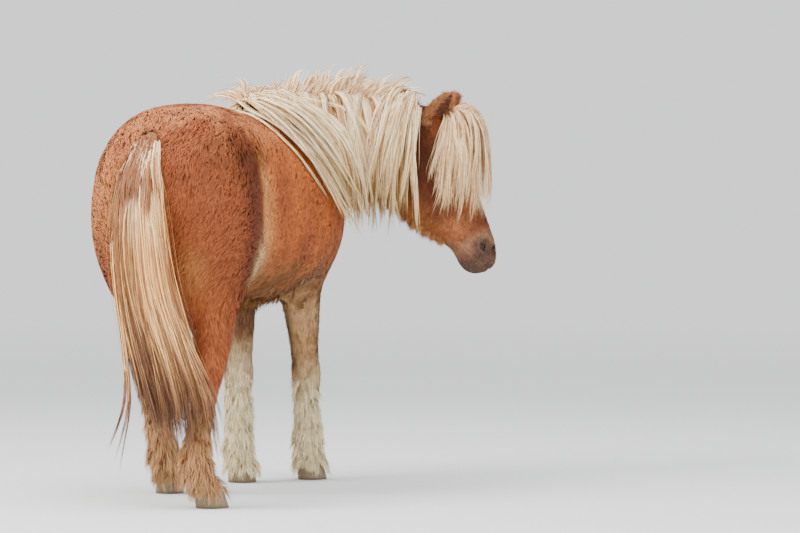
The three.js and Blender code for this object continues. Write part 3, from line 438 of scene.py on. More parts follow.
CHESTNUT = tone(144, 80, 46)
# painted shade of the fold between thigh and flank, over darker hair
HIP_SHADE = tone(104, 54, 29)
# pale gold: the whorl's own colour, and the painted highlight on the flank's stripe
WHORL_AND_HIGHLIGHT = tone(200, 140, 84)
AMBER = tone(174, 99, 48)
# painted highlight: gold where the top of the back, the left of the rump and the lower face are lit
LIT_GOLD = tone(198, 132, 86)
DARK = tone(96, 50, 26)
FOX = tone(172, 100, 56)
# partly the belly's olive tone, partly painted shade on the underside
SHADED_BELLY = tone(122, 86, 46)
PALE = tone(198, 170, 124)
TAN = tone(156, 106, 64)
SAND = tone(190, 154, 112)
SOCK = tone(214, 200, 164)
FLAXEN = tone(238, 214, 178)
WARM = tone(176, 128, 84)
UMBER = tone(112, 74, 52)
MUZZLE_SKIN = tone(152, 112, 86)
LIP = tone(80, 64, 56)
FACE_BROWN = tone(116, 64, 38)
EAR_BACK = tone(156, 98, 70)
JAW = tone(156, 100, 54)
# painted shade: near black for the eye's socket, the insides of the nostrils and the line of the mouth
DEEP_SHADE = tone(34, 22, 17)


def ripple(points, scale, seed):
    """A soft uneven value from -1 to 1 that runs on through space."""
    waves = np.random.default_rng(seed)
    total = np.zeros(len(points))
    for octave in range(3):
        for _ in range(3):
            way = unit(waves.normal(size=3)) * 2 * math.pi / scale * 1.9 ** octave
            total += np.sin(points @ way + waves.uniform(0, 7)) / 1.7 ** octave
    return total / 5.0


def away_from(points, place):
    return np.linalg.norm(points - place, axis=1)


def blend_in(colours, colour, share):
    return mix(colours, colour, np.clip(share, 0, 1)[:, None])


def rough_share(points):
    """The croup, where the long winter coat stands in loose clumps."""
    top = smooth(380, 300, points[:, 0]) * smooth(790, 880, points[:, 2])
    return top * smooth(-0.5, 0.4, ripple(points, 110, 21))


def layered(ground_colour, layers):
    """A ground colour under layers of (colour, share at each point)."""
    colours = np.tile(ground_colour, (len(layers[0][1]), 1))
    for colour, share in layers:
        colours = blend_in(colours, colour, share)
    return colours


def body_colours_with_painted_light(points, normals):
    x, y, z = points.T
    side = np.abs(normals[:, 1])
    uneven = ripple(points, 170, 5)
    whorl = np.exp(-((y + 112) / 34) ** 2 - ((z - 590) / 60) ** 2) * smooth(150, 90, x)
    # partly darker hair, partly painted shade: a band down the side of the haunch where thigh meets flank,
    # weaker on the left side
    haunch_shade = smooth(70, 190, x) * smooth(276, 222, x) * smooth(0.3, 0.9, side)
    haunch_shade *= smooth(440, 600, z) * smooth(960, 860, z) * np.where(normals[:, 1] < 0, 1.0, 0.3)
    # painted shade in the creases between the loose clumps of the croup
    crease_shade = smooth(0.15, 0.55, ripple(points * np.array([0.7, 0.7, 2.4]), 80, 31))
    # partly golden hair, partly painted highlight where the flank in front of the hip is lit
    lit_stripe = smooth(240, 276, x) * smooth(356, 284, x) * smooth(560, 680, z) * smooth(930, 840, z)
    low = smooth(650, 540, z + 50 * ripple(points, 90, 6)) * smooth(210, 320, x) * smooth(900, 640, x)
    patch = np.exp(-((x - 262) / 44) ** 2 - ((z - 590) / 70) ** 2) * smooth(0.1, 0.6, side)
    under = smooth(-0.3, -0.9, normals[:, 2]) * smooth(560, 480, z) * smooth(230, 300, x)
    fore = smooth(560, 640, x)
    left_fore = fore * smooth(-25, 0, y)
    hind = 1 - fore
    return layered(CHESTNUT, [
        (AMBER, 0.8 * smooth(240, 300, x) * smooth(-0.9, 0.5, uneven)),
        # painted highlight along the top of the back and down the lit left side of the rump
        (LIT_GOLD, 0.65 * smooth(860, 970, z) * smooth(-0.6, 0.6, uneven)),
        (LIT_GOLD, 0.75 * smooth(-20, 140, y) * smooth(560, 760, z) * smooth(300, 100, x)),
        (WHORL_AND_HIGHLIGHT, 0.6 * whorl),
        (HIP_SHADE, haunch_shade),
        (DARK, 0.6 * crease_shade * rough_share(points)),
        (WHORL_AND_HIGHLIGHT, 0.8 * lit_stripe),
        # partly the belly's own tone, partly painted shade low on the barrel
        (SHADED_BELLY, 0.8 * low * smooth(380, 440, z)),
        (PALE, 1.2 * patch * smooth(-1.0, 0.3, ripple(points, 40, 9))),
        (TAN, 0.6 * under * smooth(820, 760, x)),
        (FOX, 0.6 * smooth(620, 480, z) * smooth(330, 230, x)),
        (SAND, smooth(590, 460, z) * fore),
        (SOCK, fore * smooth(380, 200, z + 50 * uneven)),
        (SOCK, 0.6 * left_fore * smooth(430, 340, z)),
        # partly darker hair, partly painted shade at the top of the far fore leg under the chest
        (UMBER, 0.85 * left_fore * smooth(590, 500, z) * smooth(350, 440, z)),
        (TAN, hind * smooth(330, 230, z) * (0.7 + 0.3 * uneven)),
        (UMBER, 0.55 * hind * smooth(150, 70, z)),
    ])


def face_colours_with_painted_light(points):
    along, out, _ = head_places(points)
    uneven = ripple(points, 170, 5)
    layers = [
        (JAW, smooth(-40, -110, out)),
        # painted shadow of the forelock over the upper face
        (DARK, 0.85 * smooth(210, 90, along) * smooth(40, -20, out)),
        (FOX, 0.5 * smooth(-10, 40, out) * smooth(300, 220, along)),
        # painted highlight where the lower face is lit from above
        (LIT_GOLD, 0.55 * np.exp(-((along - 285) / 45) ** 2 - ((out + 25) / 40) ** 2)),
        (MUZZLE_SKIN, smooth(300, 350, along + 14 * uneven)),
        (LIP, 0.8 * smooth(345, 385, along + 10 * uneven)),
    ]
    layers += [(LIP, 0.8 * smooth(38, 16, away_from(points, place))) for place in NOSTRILS]
    face = layered(FACE_BROWN, layers) * (1 + 0.18 * ripple(points, 34, 14))[:, None]
    for centre, *_ in EYES.values():
        near = away_from(points, centre)
        # painted shade round the eye, near black in its socket
        face = blend_in(face, DARK, 0.55 * smooth(110, 35, near))
        face = blend_in(face, DEEP_SHADE, 0.8 * smooth(34, 21, near))
    return face


def colours_with_painted_light(points, normals):
    colours = mix(body_colours_with_painted_light(points, normals), face_colours_with_painted_light(points), head_share(points)[:, None])
    return 0.92 * colours * (1 + 0.10 * ripple(points, 60, 8))[:, None]


# An unwrap of the skin's own shape: each tube unrolled in a strip of its own
CHART_ROWS = np.array([
    (0.02, 0.36), (0.37, 0.47), (0.48, 0.58), (0.59, 0.69), (0.70, 0.80), (0.81, 0.90), (0.91, 0.985)])
PATCH = 0.003


def unwrap(points):
    readings = np.stack([tube_reading(points, tube) for tube in TUBES])
    nearest = np.argmin(readings[:, 0], 0)
    _, share, turn = readings[nearest, :, np.arange(len(points))].T
    low, high = CHART_ROWS[nearest].T
    u = mix(0.02, 0.98, np.clip(share, 0, 1))
    v = mix(low, high, (turn + math.pi) / (2 * math.pi))
    return np.stack([u, v], 1)


# Meshes from arrays
def make_mesh(name, points, faces, colours=None, uvs=None, normals=None):
    """Faces is a list of arrays, one row of vertex numbers for each face. The rest is by vertex."""
    mesh = bpy.data.meshes.new(name)
    loops = np.concatenate([part.ravel() for part in faces])
    totals = np.concatenate([np.full(len(part), part.shape[1]) for part in faces])
    mesh.vertices.add(len(points))
    mesh.vertices.foreach_set("co", placed(points).astype(np.float32).ravel())
    mesh.loops.add(len(loops))
    mesh.loops.foreach_set("vertex_index", loops.astype(np.int32))
    mesh.polygons.add(len(totals))
    mesh.polygons.foreach_set("loop_start", (np.cumsum(totals) - totals).astype(np.int32))
    mesh.update(calc_edges=True)
    mesh.polygons.foreach_set("use_smooth", np.ones(len(totals), bool))
    if colours is not None:
        layer = mesh.color_attributes.new("coat", "FLOAT_COLOR", "POINT")
        full = np.ones((len(points), 4), np.float32)
        full[:, :3] = np.clip(colours, 0, 1)
        layer.data.foreach_set("color", full.ravel())
    if uvs is not None:
        layer = mesh.uv_layers.new(name="OFBake")
        layer.data.foreach_set("uv", uvs[loops].astype(np.float32).ravel())
    mesh.validate()
    if normals is not None:
        mesh.normals_split_custom_set_from_vertices(normals.astype(np.float32))
    piece = bpy.data.objects.new(name, mesh)
    bpy.context.scene.collection.objects.link(piece)
    return piece


def strips(paths, sides, widths):
    """Flat strips that taper to a point, from paths of several stations."""
    count, stations, _ = paths.shape
    half = sides * widths[..., None] / 2
    left = paths[:, :-1] + half[:, :-1]
    right = paths[:, :-1] - half[:, :-1]
    body = np.stack([left, right], 2).reshape(count, 2 * (stations - 1), 3)
    points = np.concatenate([body, paths[:, -1:]], 1)
    per = 2 * stations - 1
    base = (np.arange(count) * per)[:, None]
    quads = np.concatenate([
        base + np.array([[2 * k, 2 * k + 1, 2 * k + 3, 2 * k + 2]]) for k in range(stations - 2)])
    tips = base + np.array([[per - 3, per - 2, per - 1]])
    share = np.concatenate([np.repeat(np.arange(stations - 1) / (stations - 1), 2), [1.0]])
    return points.reshape(-1, 3), [quads, tips], np.tile(share, (count, 1))


def strip_uvs(roots, share, per):
    """A small patch for each strip at its root's place on the unwrap."""
    base = unwrap(roots)[:, None, :]
    across = np.tile(np.arange(per) % 2, (len(roots), 1))
    across[:, -1] = 0
    patch = np.stack([across * PATCH, share * PATCH], -1)
    return (base + patch).reshape(-1, 2)


ROUNDNESS = 0.45


def strip_piece(name, paths, sides, widths, roots, colours_at, facing):
    """Strips that catch the light like the hair they lie in: facing is the way out at each station."""
    points, faces, share = strips(paths, sides, widths)
    per = share.shape[1]
    lean = ROUNDNESS * sides[:, :-1]
    body = np.stack([facing[:, :-1] + lean, facing[:, :-1] - lean], 2)
    normals = np.concatenate([body.reshape(len(paths), per - 1, 3), facing[:, -1:]], 1)
    colours = colours_at(share)
    uvs = strip_uvs(roots, share, per)
    return make_mesh(name, points, faces, colours.reshape(-1, 3), uvs, unit(normals).reshape(-1, 3))


def closed_rings(rings, start=None, end=None):
    """A tube of rings, closed at each end by a fan to one point, the ring's middle if none is given."""
    stations, sides, _ = rings.shape
    start = rings[0].mean(0) if start is None else start
    end = rings[-1].mean(0) if end is None else end
    points = np.vstack([rings.reshape(-1, 3), start, end])
    k = np.arange(sides)
    after = (k + 1) % sides
    base = (np.arange(stations - 1) * sides)[:, None, None]
    quads = (base + np.stack([k, after, sides + after, sides + k], 1)).reshape(-1, 4)
    last = (stations - 1) * sides
    first = np.stack([np.full(sides, len(points) - 2), after, k], 1)
    final = np.stack([last + k, last + after, np.full(sides, len(points) - 1)], 1)
    return points, [quads, np.vstack([first, final])]


# Surface nets: an even skin over the field at one level
NET_STEP = 6.5
HEAD_FINE_FROM = 0.6
COARSE = 4


def net(field, low, high, step):
    counts = [int(math.ceil((h - l) / step / COARSE)) * COARSE + 1 for l, h in zip(low, high)]
    coarse = [np.arange(0, n + COARSE - 1, COARSE) for n in counts]
    grid = np.stack(np.meshgrid(*[l + c * step for l, c in zip(low, coarse)], indexing="ij"), -1)
    rough = field(grid.reshape(-1, 3)).reshape([len(c) for c in coarse])
    index = [np.minimum((np.arange(n) + COARSE // 2) // COARSE, len(c) - 1)
             for n, c in zip(counts, coarse)]
    values = rough[np.ix_(*index)].astype(np.float32)
    near = (np.abs(rough) < COARSE * step * 1.8)[np.ix_(*index)]
    values[near] = field(np.argwhere(near) * step + np.asarray(low))
    inside = values < 0
    shape = [n - 1 for n in counts]
    corners = [(i, j, k) for k in (0, 1) for j in (0, 1) for i in (0, 1)]
    full = np.zeros(shape, np.uint8)
    for i, j, k in corners:
        full += inside[i:i + shape[0], j:j + shape[1], k:k + shape[2]]
    cells = np.argwhere((full > 0) & (full < 8))
    number = np.full(shape, -1)
    number[tuple(cells.T)] = np.arange(len(cells))
    total = np.zeros((len(cells), 3))
    hits = np.zeros(len(cells))
    for axis in range(3):
        for corner in corners:
            if corner[axis]:
                continue
            other = list(corner)
            other[axis] = 1
            a = values[tuple((cells + corner).T)]
            b = values[tuple((cells + other).T)]
            cross = (a < 0) != (b < 0)
            spot = np.tile(np.array(corner, float), (len(cells), 1))
            spot[:, axis] += np.where(cross, a / np.where(cross, a - b, 1), 0)
            total[cross] += spot[cross]
            hits[cross] += 1
    points = (cells + total / hits[:, None]) * step + np.asarray(low)
    quads = []
    for axis in range(3):
        second, third = (axis + 1) % 3, (axis + 2) % 3
        first = [slice(0, n) for n in counts]
        after = [slice(0, n) for n in counts]
        first[axis] = slice(0, counts[axis] - 1)
        after[axis] = slice(1, counts[axis])
        inner, outer = inside[tuple(first)], inside[tuple(after)]
        edges = np.argwhere(inner != outer)
        ring = []
        for back_second, back_third in ((0, 0), (1, 0), (1, 1), (0, 1)):
            cell = edges.copy()
            cell[:, second] -= back_second
            cell[:, third] -= back_third
            ring.append(number[tuple(cell.T)])
        ring = np.stack(ring, 1)
        turned = ~inner[tuple(edges.T)]
        ring[turned] = ring[turned][:, ::-1]
        quads.append(ring)
    return points, np.vstack(quads)


# The skin: the body's net, finer on the head, cut off at the coronets by the hooves
SKIN_BOX = (np.array([-230.0, -560.0, 0.0]), np.array([1120.0, 320.0, 1060.0]))


def skin_field(points):
    return flesh(points) + coat_depth(points)


def split_head(points, quads):
    """Quarter the faces of the head; the faces beside them fan out from a middle point."""
    share = head_share(points) > HEAD_FINE_FROM
    first = quads
    second = np.roll(quads, -1, 1)
    keys = np.minimum(first, second) * len(points) + np.maximum(first, second)
    chosen = share[first] & share[second]
    edges = np.unique(keys[chosen])
    middles = (points[edges // len(points)] + points[edges % len(points)]) / 2
    middle = np.searchsorted(edges, keys) + len(points)
    touched = chosen.any(1)
    whole = chosen.all(1)
    centre = len(points) + len(edges) + np.cumsum(touched) - 1
    centres = points[quads[touched]].mean(1)
    fours = [quads[~touched]]
    threes = []
    partly = touched & ~whole
    for k in range(4):
        before = (k + 3) % 4
        fours.append(np.stack([quads[:, k], middle[:, k], centre, middle[:, before]], 1)[whole])
        cut = partly & chosen[:, k]
        uncut = partly & ~chosen[:, k]
        threes.append(np.stack([quads[:, k], middle[:, k], centre], 1)[cut])
        threes.append(np.stack([middle[:, k], second[:, k], centre], 1)[cut])
        threes.append(np.stack([quads[:, k], second[:, k], centre], 1)[uncut])
    return np.vstack([points, middles, centres]), np.vstack(fours), np.vstack(threes)


NOSTRIL = (354.0, 22.0, 40.0)
MOUTH_CORNER = (318.0, -34.0)
MOUTH_FRONT = (388.0, 4.0)


def mouth_curve(count=60):
    """The line where the lips meet, from corner to corner."""
    turn = np.linspace(0, math.pi, count)
    reach = np.sin(turn)
    along = mix(MOUTH_CORNER[0], MOUTH_FRONT[0], reach)
    out = mix(MOUTH_CORNER[1], MOUTH_FRONT[1], reach ** 1.3)
    return to_level(on_heads(along, out, 60 * np.cos(turn)), 0, rounds=8)


NOSTRILS = to_level(np.array([on_head(*NOSTRIL[:2], sign * NOSTRIL[2]) for sign in (1, -1)]), 0, rounds=8)
NOSTRIL_LONG = unit(MUZZLE - 0.5 * BROW)
NOSTRIL_SHORT = unit(BROW + 0.5 * MUZZLE)
MOUTH_LINE = mouth_curve()


def nostril_radius(points, place, length, width):
    """1 on the rim of a nostril of this half length and half width, less inside it."""
    a = (points - place) @ NOSTRIL_LONG
    b = (points - place) @ NOSTRIL_SHORT
    return np.hypot(a / length, (b - 0.013 * a * a) / width)


def mouth_gaps(points):
    """Distances from each point to each spot on the line of the mouth."""
    return np.linalg.norm(points[:, None] - MOUTH_LINE[None], axis=2)


def carve_head(points):
    """Sockets, nostrils, lips, veins and folds of the head, as moves along the skin's normal."""
    move = np.zeros(len(points))
    for centre, out, forward, upward in EYES.values():
        offset = points - centre
        a, b, front = offset @ forward, offset @ upward, offset @ out > 0
        move -= 13 * smooth(1.05, 0.8, np.hypot(a / 17.5, b / 10.5)) * front
        rim = np.hypot(a / 27, (b - 2) / 19)
        move += 2.6 * np.exp(-((rim - 1.0) / 0.22) ** 2) * front
        move += 2.2 * np.exp(-((b - 21) / 5) ** 2 - (a / 20) ** 2) * front
        move -= 1.6 * np.exp(-((b - 15) / 2.5) ** 2 - (a / 18) ** 2) * front
    for place in NOSTRILS:
        radius = nostril_radius(points, place, 19, 10)
        near = away_from(points, place) < 40
        move -= 14 * smooth(1.0, 0.5, radius) * near
        move += 2.4 * np.exp(-((radius - 1.35) / 0.35) ** 2) * near
    along, out, _ = head_places(points)
    near = (along > 290) & (out < 60)
    if near.any():
        gap = mouth_gaps(points[near])
        closest = gap.min(1)
        below = out[near] < (MOUTH_LINE[gap.argmin(1)] - POLL) @ BROW
        lip = np.exp(-((closest - 9) / 5) ** 2) * np.where(below, 1.0, 0.5)
        move[near] += lip - 4.2 * np.exp(-(closest / 3.2) ** 2)
    vein = np.exp(-((out + 8 + 0.25 * (along - 200)) / 3.0) ** 2)
    return move + 0.9 * vein * smooth(170, 200, along) * smooth(300, 260, along)


def build_skin():
    points, quads = net(skin_field, *SKIN_BOX, NET_STEP)
    points, quads, triangles = split_head(points, quads)
    points = to_level(points, 0, skin_field, rounds=2)
    normals = slope_of(points, flesh)
    points += normals * carve_head(points)[:, None]
    return points, quads, triangles, normals


skin_points, skin_quads, skin_triangles, skin_normals = build_skin()
skin_colours = colours_with_painted_light(skin_points, skin_normals)


def paint_feature_shade(points, colours):
    """Painted shade inside the nostrils and along the line of the mouth."""
    for place in NOSTRILS:
        deep = smooth(1.0, 0.6, nostril_radius(points, place, 18, 9.2))
        colours = blend_in(colours, DEEP_SHADE, deep * (away_from(points, place) < 34))
    near = head_places(points)[0] > 290
    gap = np.full(len(points), FAR)
    gap[near] = mouth_gaps(points[near]).min(1)
    return blend_in(colours, DEEP_SHADE, 0.9 * smooth(5.0, 2.0, gap))


# painted light: the skin is lightened to make up for the shade between the tufts over it
SKIN_FILL_LIGHT = 1.1
skin_colours = paint_feature_shade(skin_points, skin_colours)
skin = make_mesh("skin", skin_points, [skin_quads, skin_triangles], skin_colours * SKIN_FILL_LIGHT)


def level_with(ways, normals):
    """Ways without their part along the normals."""
    return ways - (ways * normals).sum(1)[:, None] * normals


# The lie of the coat: back and down along the trunk, down the neck and legs, down the face
def lie_of(points, normals):
    head = head_share(points)[:, None]
    neck = neck_share(points)[:, None]
    leg = leg_share(points)[:, None]
    rump = rump_share(points)[:, None]
    ways = mix(np.array([-0.45, 0.0, -0.85]), np.array([-0.75, 0.0, -0.62]), rump)
    ways = mix(ways, np.array([-0.45, 0.55, -0.75]), neck)
    ways = mix(ways, np.array([-0.2, 0.0, -1.0]), leg)
    along, out, left = head_places(points)
    face = MUZZLE * 0.9 - BROW * (0.25 + 0.6 * smooth(-20, -90, out))[:, None]
    face = face + HEAD_LEFT * (0.3 * np.sign(left) * smooth(-40, 20, out))[:, None]
    ways = mix(ways, face, head)
    turn = 0.22 + 0.5 * rough_share(points) + 0.35 * leg_share(points)
    for size, scale, seed in ((1.0, 200, 11), (0.6, 60, 12)):
        ways = ways + (size * turn * ripple(points, scale, seed))[:, None] * np.cross(normals, ways)
    return unit(level_with(ways, normals))


def rump_share(points):
    return smooth(360, 250, points[:, 0]) * (1 - leg_share(points)) * (1 - head_share(points))


coat_triangles = np.vstack([skin_quads[:, [0, 1, 2]], skin_quads[:, [0, 2, 3]], skin_triangles])
coat_corners = skin_points[coat_triangles]
coat_middles = coat_corners.mean(1)
coat_edges = coat_corners[:, 1:] - coat_corners[:, :1]
coat_areas = np.linalg.norm(np.cross(coat_edges[:, 0], coat_edges[:, 1]), axis=1)


def scatter(weight, count):
    chance = coat_areas * weight(coat_middles)
    chosen = rng.choice(len(coat_triangles), count, p=chance / chance.sum())
    a, b = rng.random((2, count))
    fold = a + b > 1
    a[fold], b[fold] = 1 - a[fold], 1 - b[fold]
    spread = np.stack([1 - a - b, a, b], 1)[..., None]
    roots = (coat_corners[chosen] * spread).sum(1)
    normals = unit((skin_normals[coat_triangles[chosen]] * spread).sum(1))
    return roots, normals


def clump_pull(roots, size):
    """The way from each root to the middle of the clump that it belongs to, and the clump's own draw."""
    cell = np.floor(roots / size)
    mixing = np.array([[12.9, 39.3, 7.1], [78.2, 11.1, 5.7], [37.7, 83.1, 91.3]])
    hashed = np.sin(cell @ mixing + 3.0) * 43758.5
    own = hashed - np.floor(hashed)
    return (cell + 0.15 + 0.7 * own) * size - roots, own[:, 0]


# Size, stand and clumping of the tufts over the body, in millimetres
def tuft_length(points):
    along = head_places(points)[0]
    size = 24 + 12 * rough_share(points) + 8 * smooth(600, 540, points[:, 2])
    size = mix(size, 32 - 8 * smooth(150, 80, points[:, 2]), leg_share(points))
    return mix(size, mix(26.0, 7.0, smooth(150, 340, along)), head_share(points)) + 8 * ear_share(points)


def tuft_width(points):
    size = mix(2.6, 1.8, leg_share(points))
    return mix(size, 1.3, head_share(points))


def tuft_lift(points):
    along = head_places(points)[0]
    size = 0.6 + 5.0 * rough_share(points) + 3.0 * smooth(600, 530, points[:, 2])
    size = mix(size, 5.0, leg_share(points))
    return mix(size, mix(6.5, 0.5, smooth(110, 320, along)), head_share(points)) + 9 * ear_share(points)


def ear_share(points):
    """Round the roots of the ears, where the hair stands up along them."""
    share = np.zeros(len(points))
    for sign in (1, -1):
        root = on_head(EAR_PLACE[0] + 12, EAR_PLACE[1] - 8, sign * EAR_PLACE[2])
        share = np.maximum(share, np.exp(-(away_from(points, root) / 54) ** 2))
    return share


def tuft_gather(points):
    size = 0.08 + 0.6 * rough_share(points) + 0.25 * streak_share(points)
    return size * (1 - 0.3 * head_share(points))


def streak_share(points):
    """Where darker and paler locks of the coat lie side by side: the flank, the belly and the legs."""
    low = smooth(740, 560, points[:, 2]) * smooth(250, 330, points[:, 0]) * (1 - head_share(points))
    face = head_share(points) * smooth(330, 260, head_places(points)[0])
    return np.maximum(0.7 * low, leg_share(points)) + 0.5 * face


STREAK = np.array([0.58, 0.45, 0.34])
TUFT_STATIONS = 3
TUFT_DEPTHS = [-6.0, -0.3, -1.8]
TUFT_TAPER = np.array([0.75, 1.0, 0.0])


def tufts(name, weight, count, clump):
    """Tufts over the part of the skin that the weight chooses, laid along the coat."""
    roots, normals = scatter(weight, count)
    loose = 0.13 + 0.25 * ear_share(roots) + 0.12 * head_share(roots)
    ways = unit(lie_of(roots, normals) + loose[:, None] * rng.normal(size=(count, 3)))
    ways = level_with(ways, normals)
    pull, own = clump_pull(roots, clump)
    pull = level_with(pull, normals) * tuft_gather(roots)[:, None]
    sizes = tuft_length(roots) * rng.uniform(0.7, 1.25, count)
    lifts = tuft_lift(roots) * rng.uniform(0.3, 1.5, count) * (1 - 0.6 * np.maximum(normals[:, 2], 0) ** 2)
    depth = coat_depth(roots)
    carved = flesh(roots) + depth
    paths = np.empty((count, TUFT_STATIONS, 3))
    paths[:, 0] = roots - normals
    for k in range(1, TUFT_STATIONS):
        t = k / (TUFT_STATIONS - 1)
        spot = roots + ways * (sizes * t)[:, None] + pull * t * t
        height = TUFT_DEPTHS[k] * depth / 6 + lifts * t * t + carved * (1 - 0.3 * t)
        height = height + rng.uniform(-0.4, 0.4, count)
        paths[:, k] = spot + normals * np.clip(height - flesh(spot), -9, 9)[:, None]
    sides = unit(np.cross(normals, ways) + 0.2 * normals * rng.normal(size=(count, 1)))
    sides = np.repeat(sides[:, None], TUFT_STATIONS, 1)
    widths = (tuft_width(roots) * rng.uniform(0.7, 1.3, count))[:, None] * TUFT_TAPER
    base = colours_with_painted_light(roots, normals)
    streak = streak_share(roots) * (own < 0.4) * rng.uniform(0.3, 1.0, count)
    base = mix(base, base * STREAK, streak[:, None])
    uneven = 0.03 + 0.14 * rough_share(roots)
    grain = 0.10 + 0.14 * head_share(roots)
    tones = (1 + uneven * (2 * own - 1)) * np.clip(rng.normal(1.0, grain), 0.6, 1.5)

    def colours_at(share):
        # painted light: roots lighter than tips, to make up for the shade between the tufts
        shade = tones[:, None] * mix(1.12, 1.0, share)
        return base[:, None, :] * shade[..., None]

    turned = 0.12 + 0.3 * rump_share(roots) + 0.3 * np.maximum(normals[:, 2], 0)
    facing = unit(normals + 0.16 * rng.normal(size=(count, 3)) + turned[:, None] * ways)
    facing = np.repeat(facing[:, None], TUFT_STATIONS, 1)
    piece = strip_piece(name, paths, sides, widths, roots, colours_at, facing)
    return piece


def bare(points):
    """Where no tuft grows: the eyes, the nostrils and the lips."""
    clear = np.ones(len(points))
    for centre, *_ in EYES.values():
        clear *= smooth(21, 25, away_from(points, centre))
    for place in NOSTRILS:
        clear *= smooth(11, 16, away_from(points, place))
    along = head_places(points)[0]
    near = (along > 290) & (head_share(points) > 0)
    if near.any():
        clear[near] *= smooth(3, 7, mouth_gaps(points[near]).min(1))
    return clear


# Bands of the coat: name, start and end along the pony, share, tufts, size of a clump, slot
def body_only(points):
    return (1 - head_share(points)) * (1 - leg_share(points)) + 1e-9


def leg_only(points):
    return leg_share(points) * (points[:, 2] > FETLOCK_END)


def face_only(points):
    return head_share(points) * bare(points) * (1 + smooth(100, 250, head_places(points)[0]))


def between(start, end, share):
    """The share of a region, from one place along the pony to another."""
    return lambda points: share(points) * ((points[:, 0] >= start) & (points[:, 0] < end))


FETLOCK_END = 62
BODY_COUNT, LEG_COUNT, HEAD_COUNT = 25500, 25000, 46000
BODY_CLUMP, LEG_CLUMP, HEAD_CLUMP = 24, 12, 9
BODY_ENDS = [-300, 175, 300, 450, 600, 740, 1200]
BODY_NAMES = ["rump", "loin", "flank", "barrel", "shoulder", "neck"]
COAT_BANDS = [(name, start, end, body_only, BODY_COUNT, BODY_CLUMP, "coat")
              for name, start, end in zip(BODY_NAMES, BODY_ENDS[:-1], BODY_ENDS[1:])]
COAT_BANDS += [
    ("legs_hind", -300, 400, leg_only, LEG_COUNT, LEG_CLUMP, "stocking"),
    ("legs_fore", 400, 1000, leg_only, LEG_COUNT, LEG_CLUMP, "stocking"),
    ("head", 0, 2000, face_only, HEAD_COUNT, HEAD_CLUMP, "coat"),
]


coats = [tufts("coat_" + name, between(start, end, share), count, clump)
         for name, start, end, share, count, clump, slot in COAT_BANDS]


# Long hair: guides that leave the skin, turn to their lie and rest on what is under them
DRAPE_STEP = 12.0
FLOOR_CLEAR = 5.0
STRAND_FLOOR = 2.0


def drape(roots, starts, lie, lengths, heights, stiffness, rises, stations, sunk=8.0):
    count = len(roots)
    steps = int(max(lengths) / DRAPE_STEP) + 1
    size = lengths / steps
    trail = [roots]
    ways = unit(starts)
    for i in range(steps):
        turned = unit(ways * stiffness + lie * (1 - stiffness))
        held = (i * size < rises)[:, None]
        ways = np.where(held, ways, turned)
        spot = trail[-1] + ways * size[:, None]
        least = np.minimum(heights, 2 + (i + 1) * size * 0.6)
        lift = least - ground(spot)
        low = lift > 0
        if low.any():
            spot[low] += slope_of(spot[low], ground) * lift[low][:, None]
        spot[:, 2] = np.maximum(spot[:, 2], FLOOR_CLEAR)
        ways = unit(spot - trail[-1])
        trail.append(spot)
    trail = np.stack(trail, 1)
    pick = np.round(np.linspace(0, steps, stations)).astype(int)
    paths = trail[:, pick]
    outs = slope_of(paths.reshape(-1, 3), ground).reshape(count, stations, 3)
    paths[:, 0] -= outs[:, 0] * sunk
    return paths, outs


def sample(values, shares):
    """Values along each guide at the given shares of its length."""
    last = values.shape[1] - 1
    place = np.clip(shares, 0, 1) * last
    low = np.minimum(place.astype(int), last - 1)
    rows = np.arange(len(values))[:, None]
    return mix(values[rows, low], values[rows, low + 1], (place - low)[..., None])


def strands(name, guides, look, per_guide, stations, width, spread, flat=0.4, wave=3.0,
            short=0.72, gather=1.0, loose=0.04):
    """Many fine strands round each guide, closer together towards its tip; a few stray far out."""
    paths, outs = guides
    guide = np.repeat(np.arange(len(paths)), per_guide)
    count = len(guide)
    shares = rng.uniform(short, 1.0, count)[:, None] * np.linspace(0, 1, stations)
    middle = sample(paths[guide], shares)
    outward = unit(sample(outs[guide], shares))
    along = unit(np.gradient(middle, axis=1))
    across = unit(np.cross(outward, along))
    outward = unit(np.cross(along, across))
    angle = rng.uniform(0, 2 * math.pi, count)
    radius = np.sqrt(rng.random(count))
    stray = rng.random(count) < loose
    radius[stray] *= rng.uniform(1.3, 2.2, stray.sum())
    close = np.minimum(0.6 + 1.6 * shares, 1) * mix(1.0, np.clip(1 - shares, 0.1, 1) ** 0.8, gather)
    close[stray] = np.minimum(0.6 + 1.6 * shares[stray], 1)
    phase = rng.uniform(0, 7, (count, 1))
    pace = rng.uniform(4, 11, (count, 1))
    bend = wave * shares * np.sin(phase + shares * pace)
    lift = 0.5 * wave * shares * np.sin(1.7 * phase + 5 * shares)
    aside = (radius * np.cos(angle))[:, None] * spread * close + bend
    out = (radius * np.sin(angle))[:, None] * spread * flat * close + lift
    spots = middle + across * aside[..., None] + outward * out[..., None]
    spots[..., 2] = np.maximum(spots[..., 2], STRAND_FLOOR)
    angle = angle[:, None, None]
    facing = unit(outward * (0.75 + 0.25 * np.sin(angle)) + across * 0.8 * np.cos(angle))
    sides = unit(np.cross(facing, along) + 0.25 * facing * rng.normal(size=(count, 1, 1)))
    t = np.linspace(0, 1, stations)
    taper = np.minimum(1.0, 1.35 * (1 - t) ** 0.55 + 0.12) * np.minimum(1, 0.75 + 2 * t)
    sizes = width * rng.uniform(0.6, 1.4, (count, 1)) * taper
    tint = rng.normal(1.0, 0.12, count) * rng.normal(1.0, 0.09, len(paths))[guide]
    ends = shares[:, -1:]
    colours = look(guide, rng.random(count))
    piece = strip_piece(name, spots, sides, sizes, paths[guide][:, 0],
                        lambda share: colours(share * ends) * tint[:, None, None], facing)
    return piece


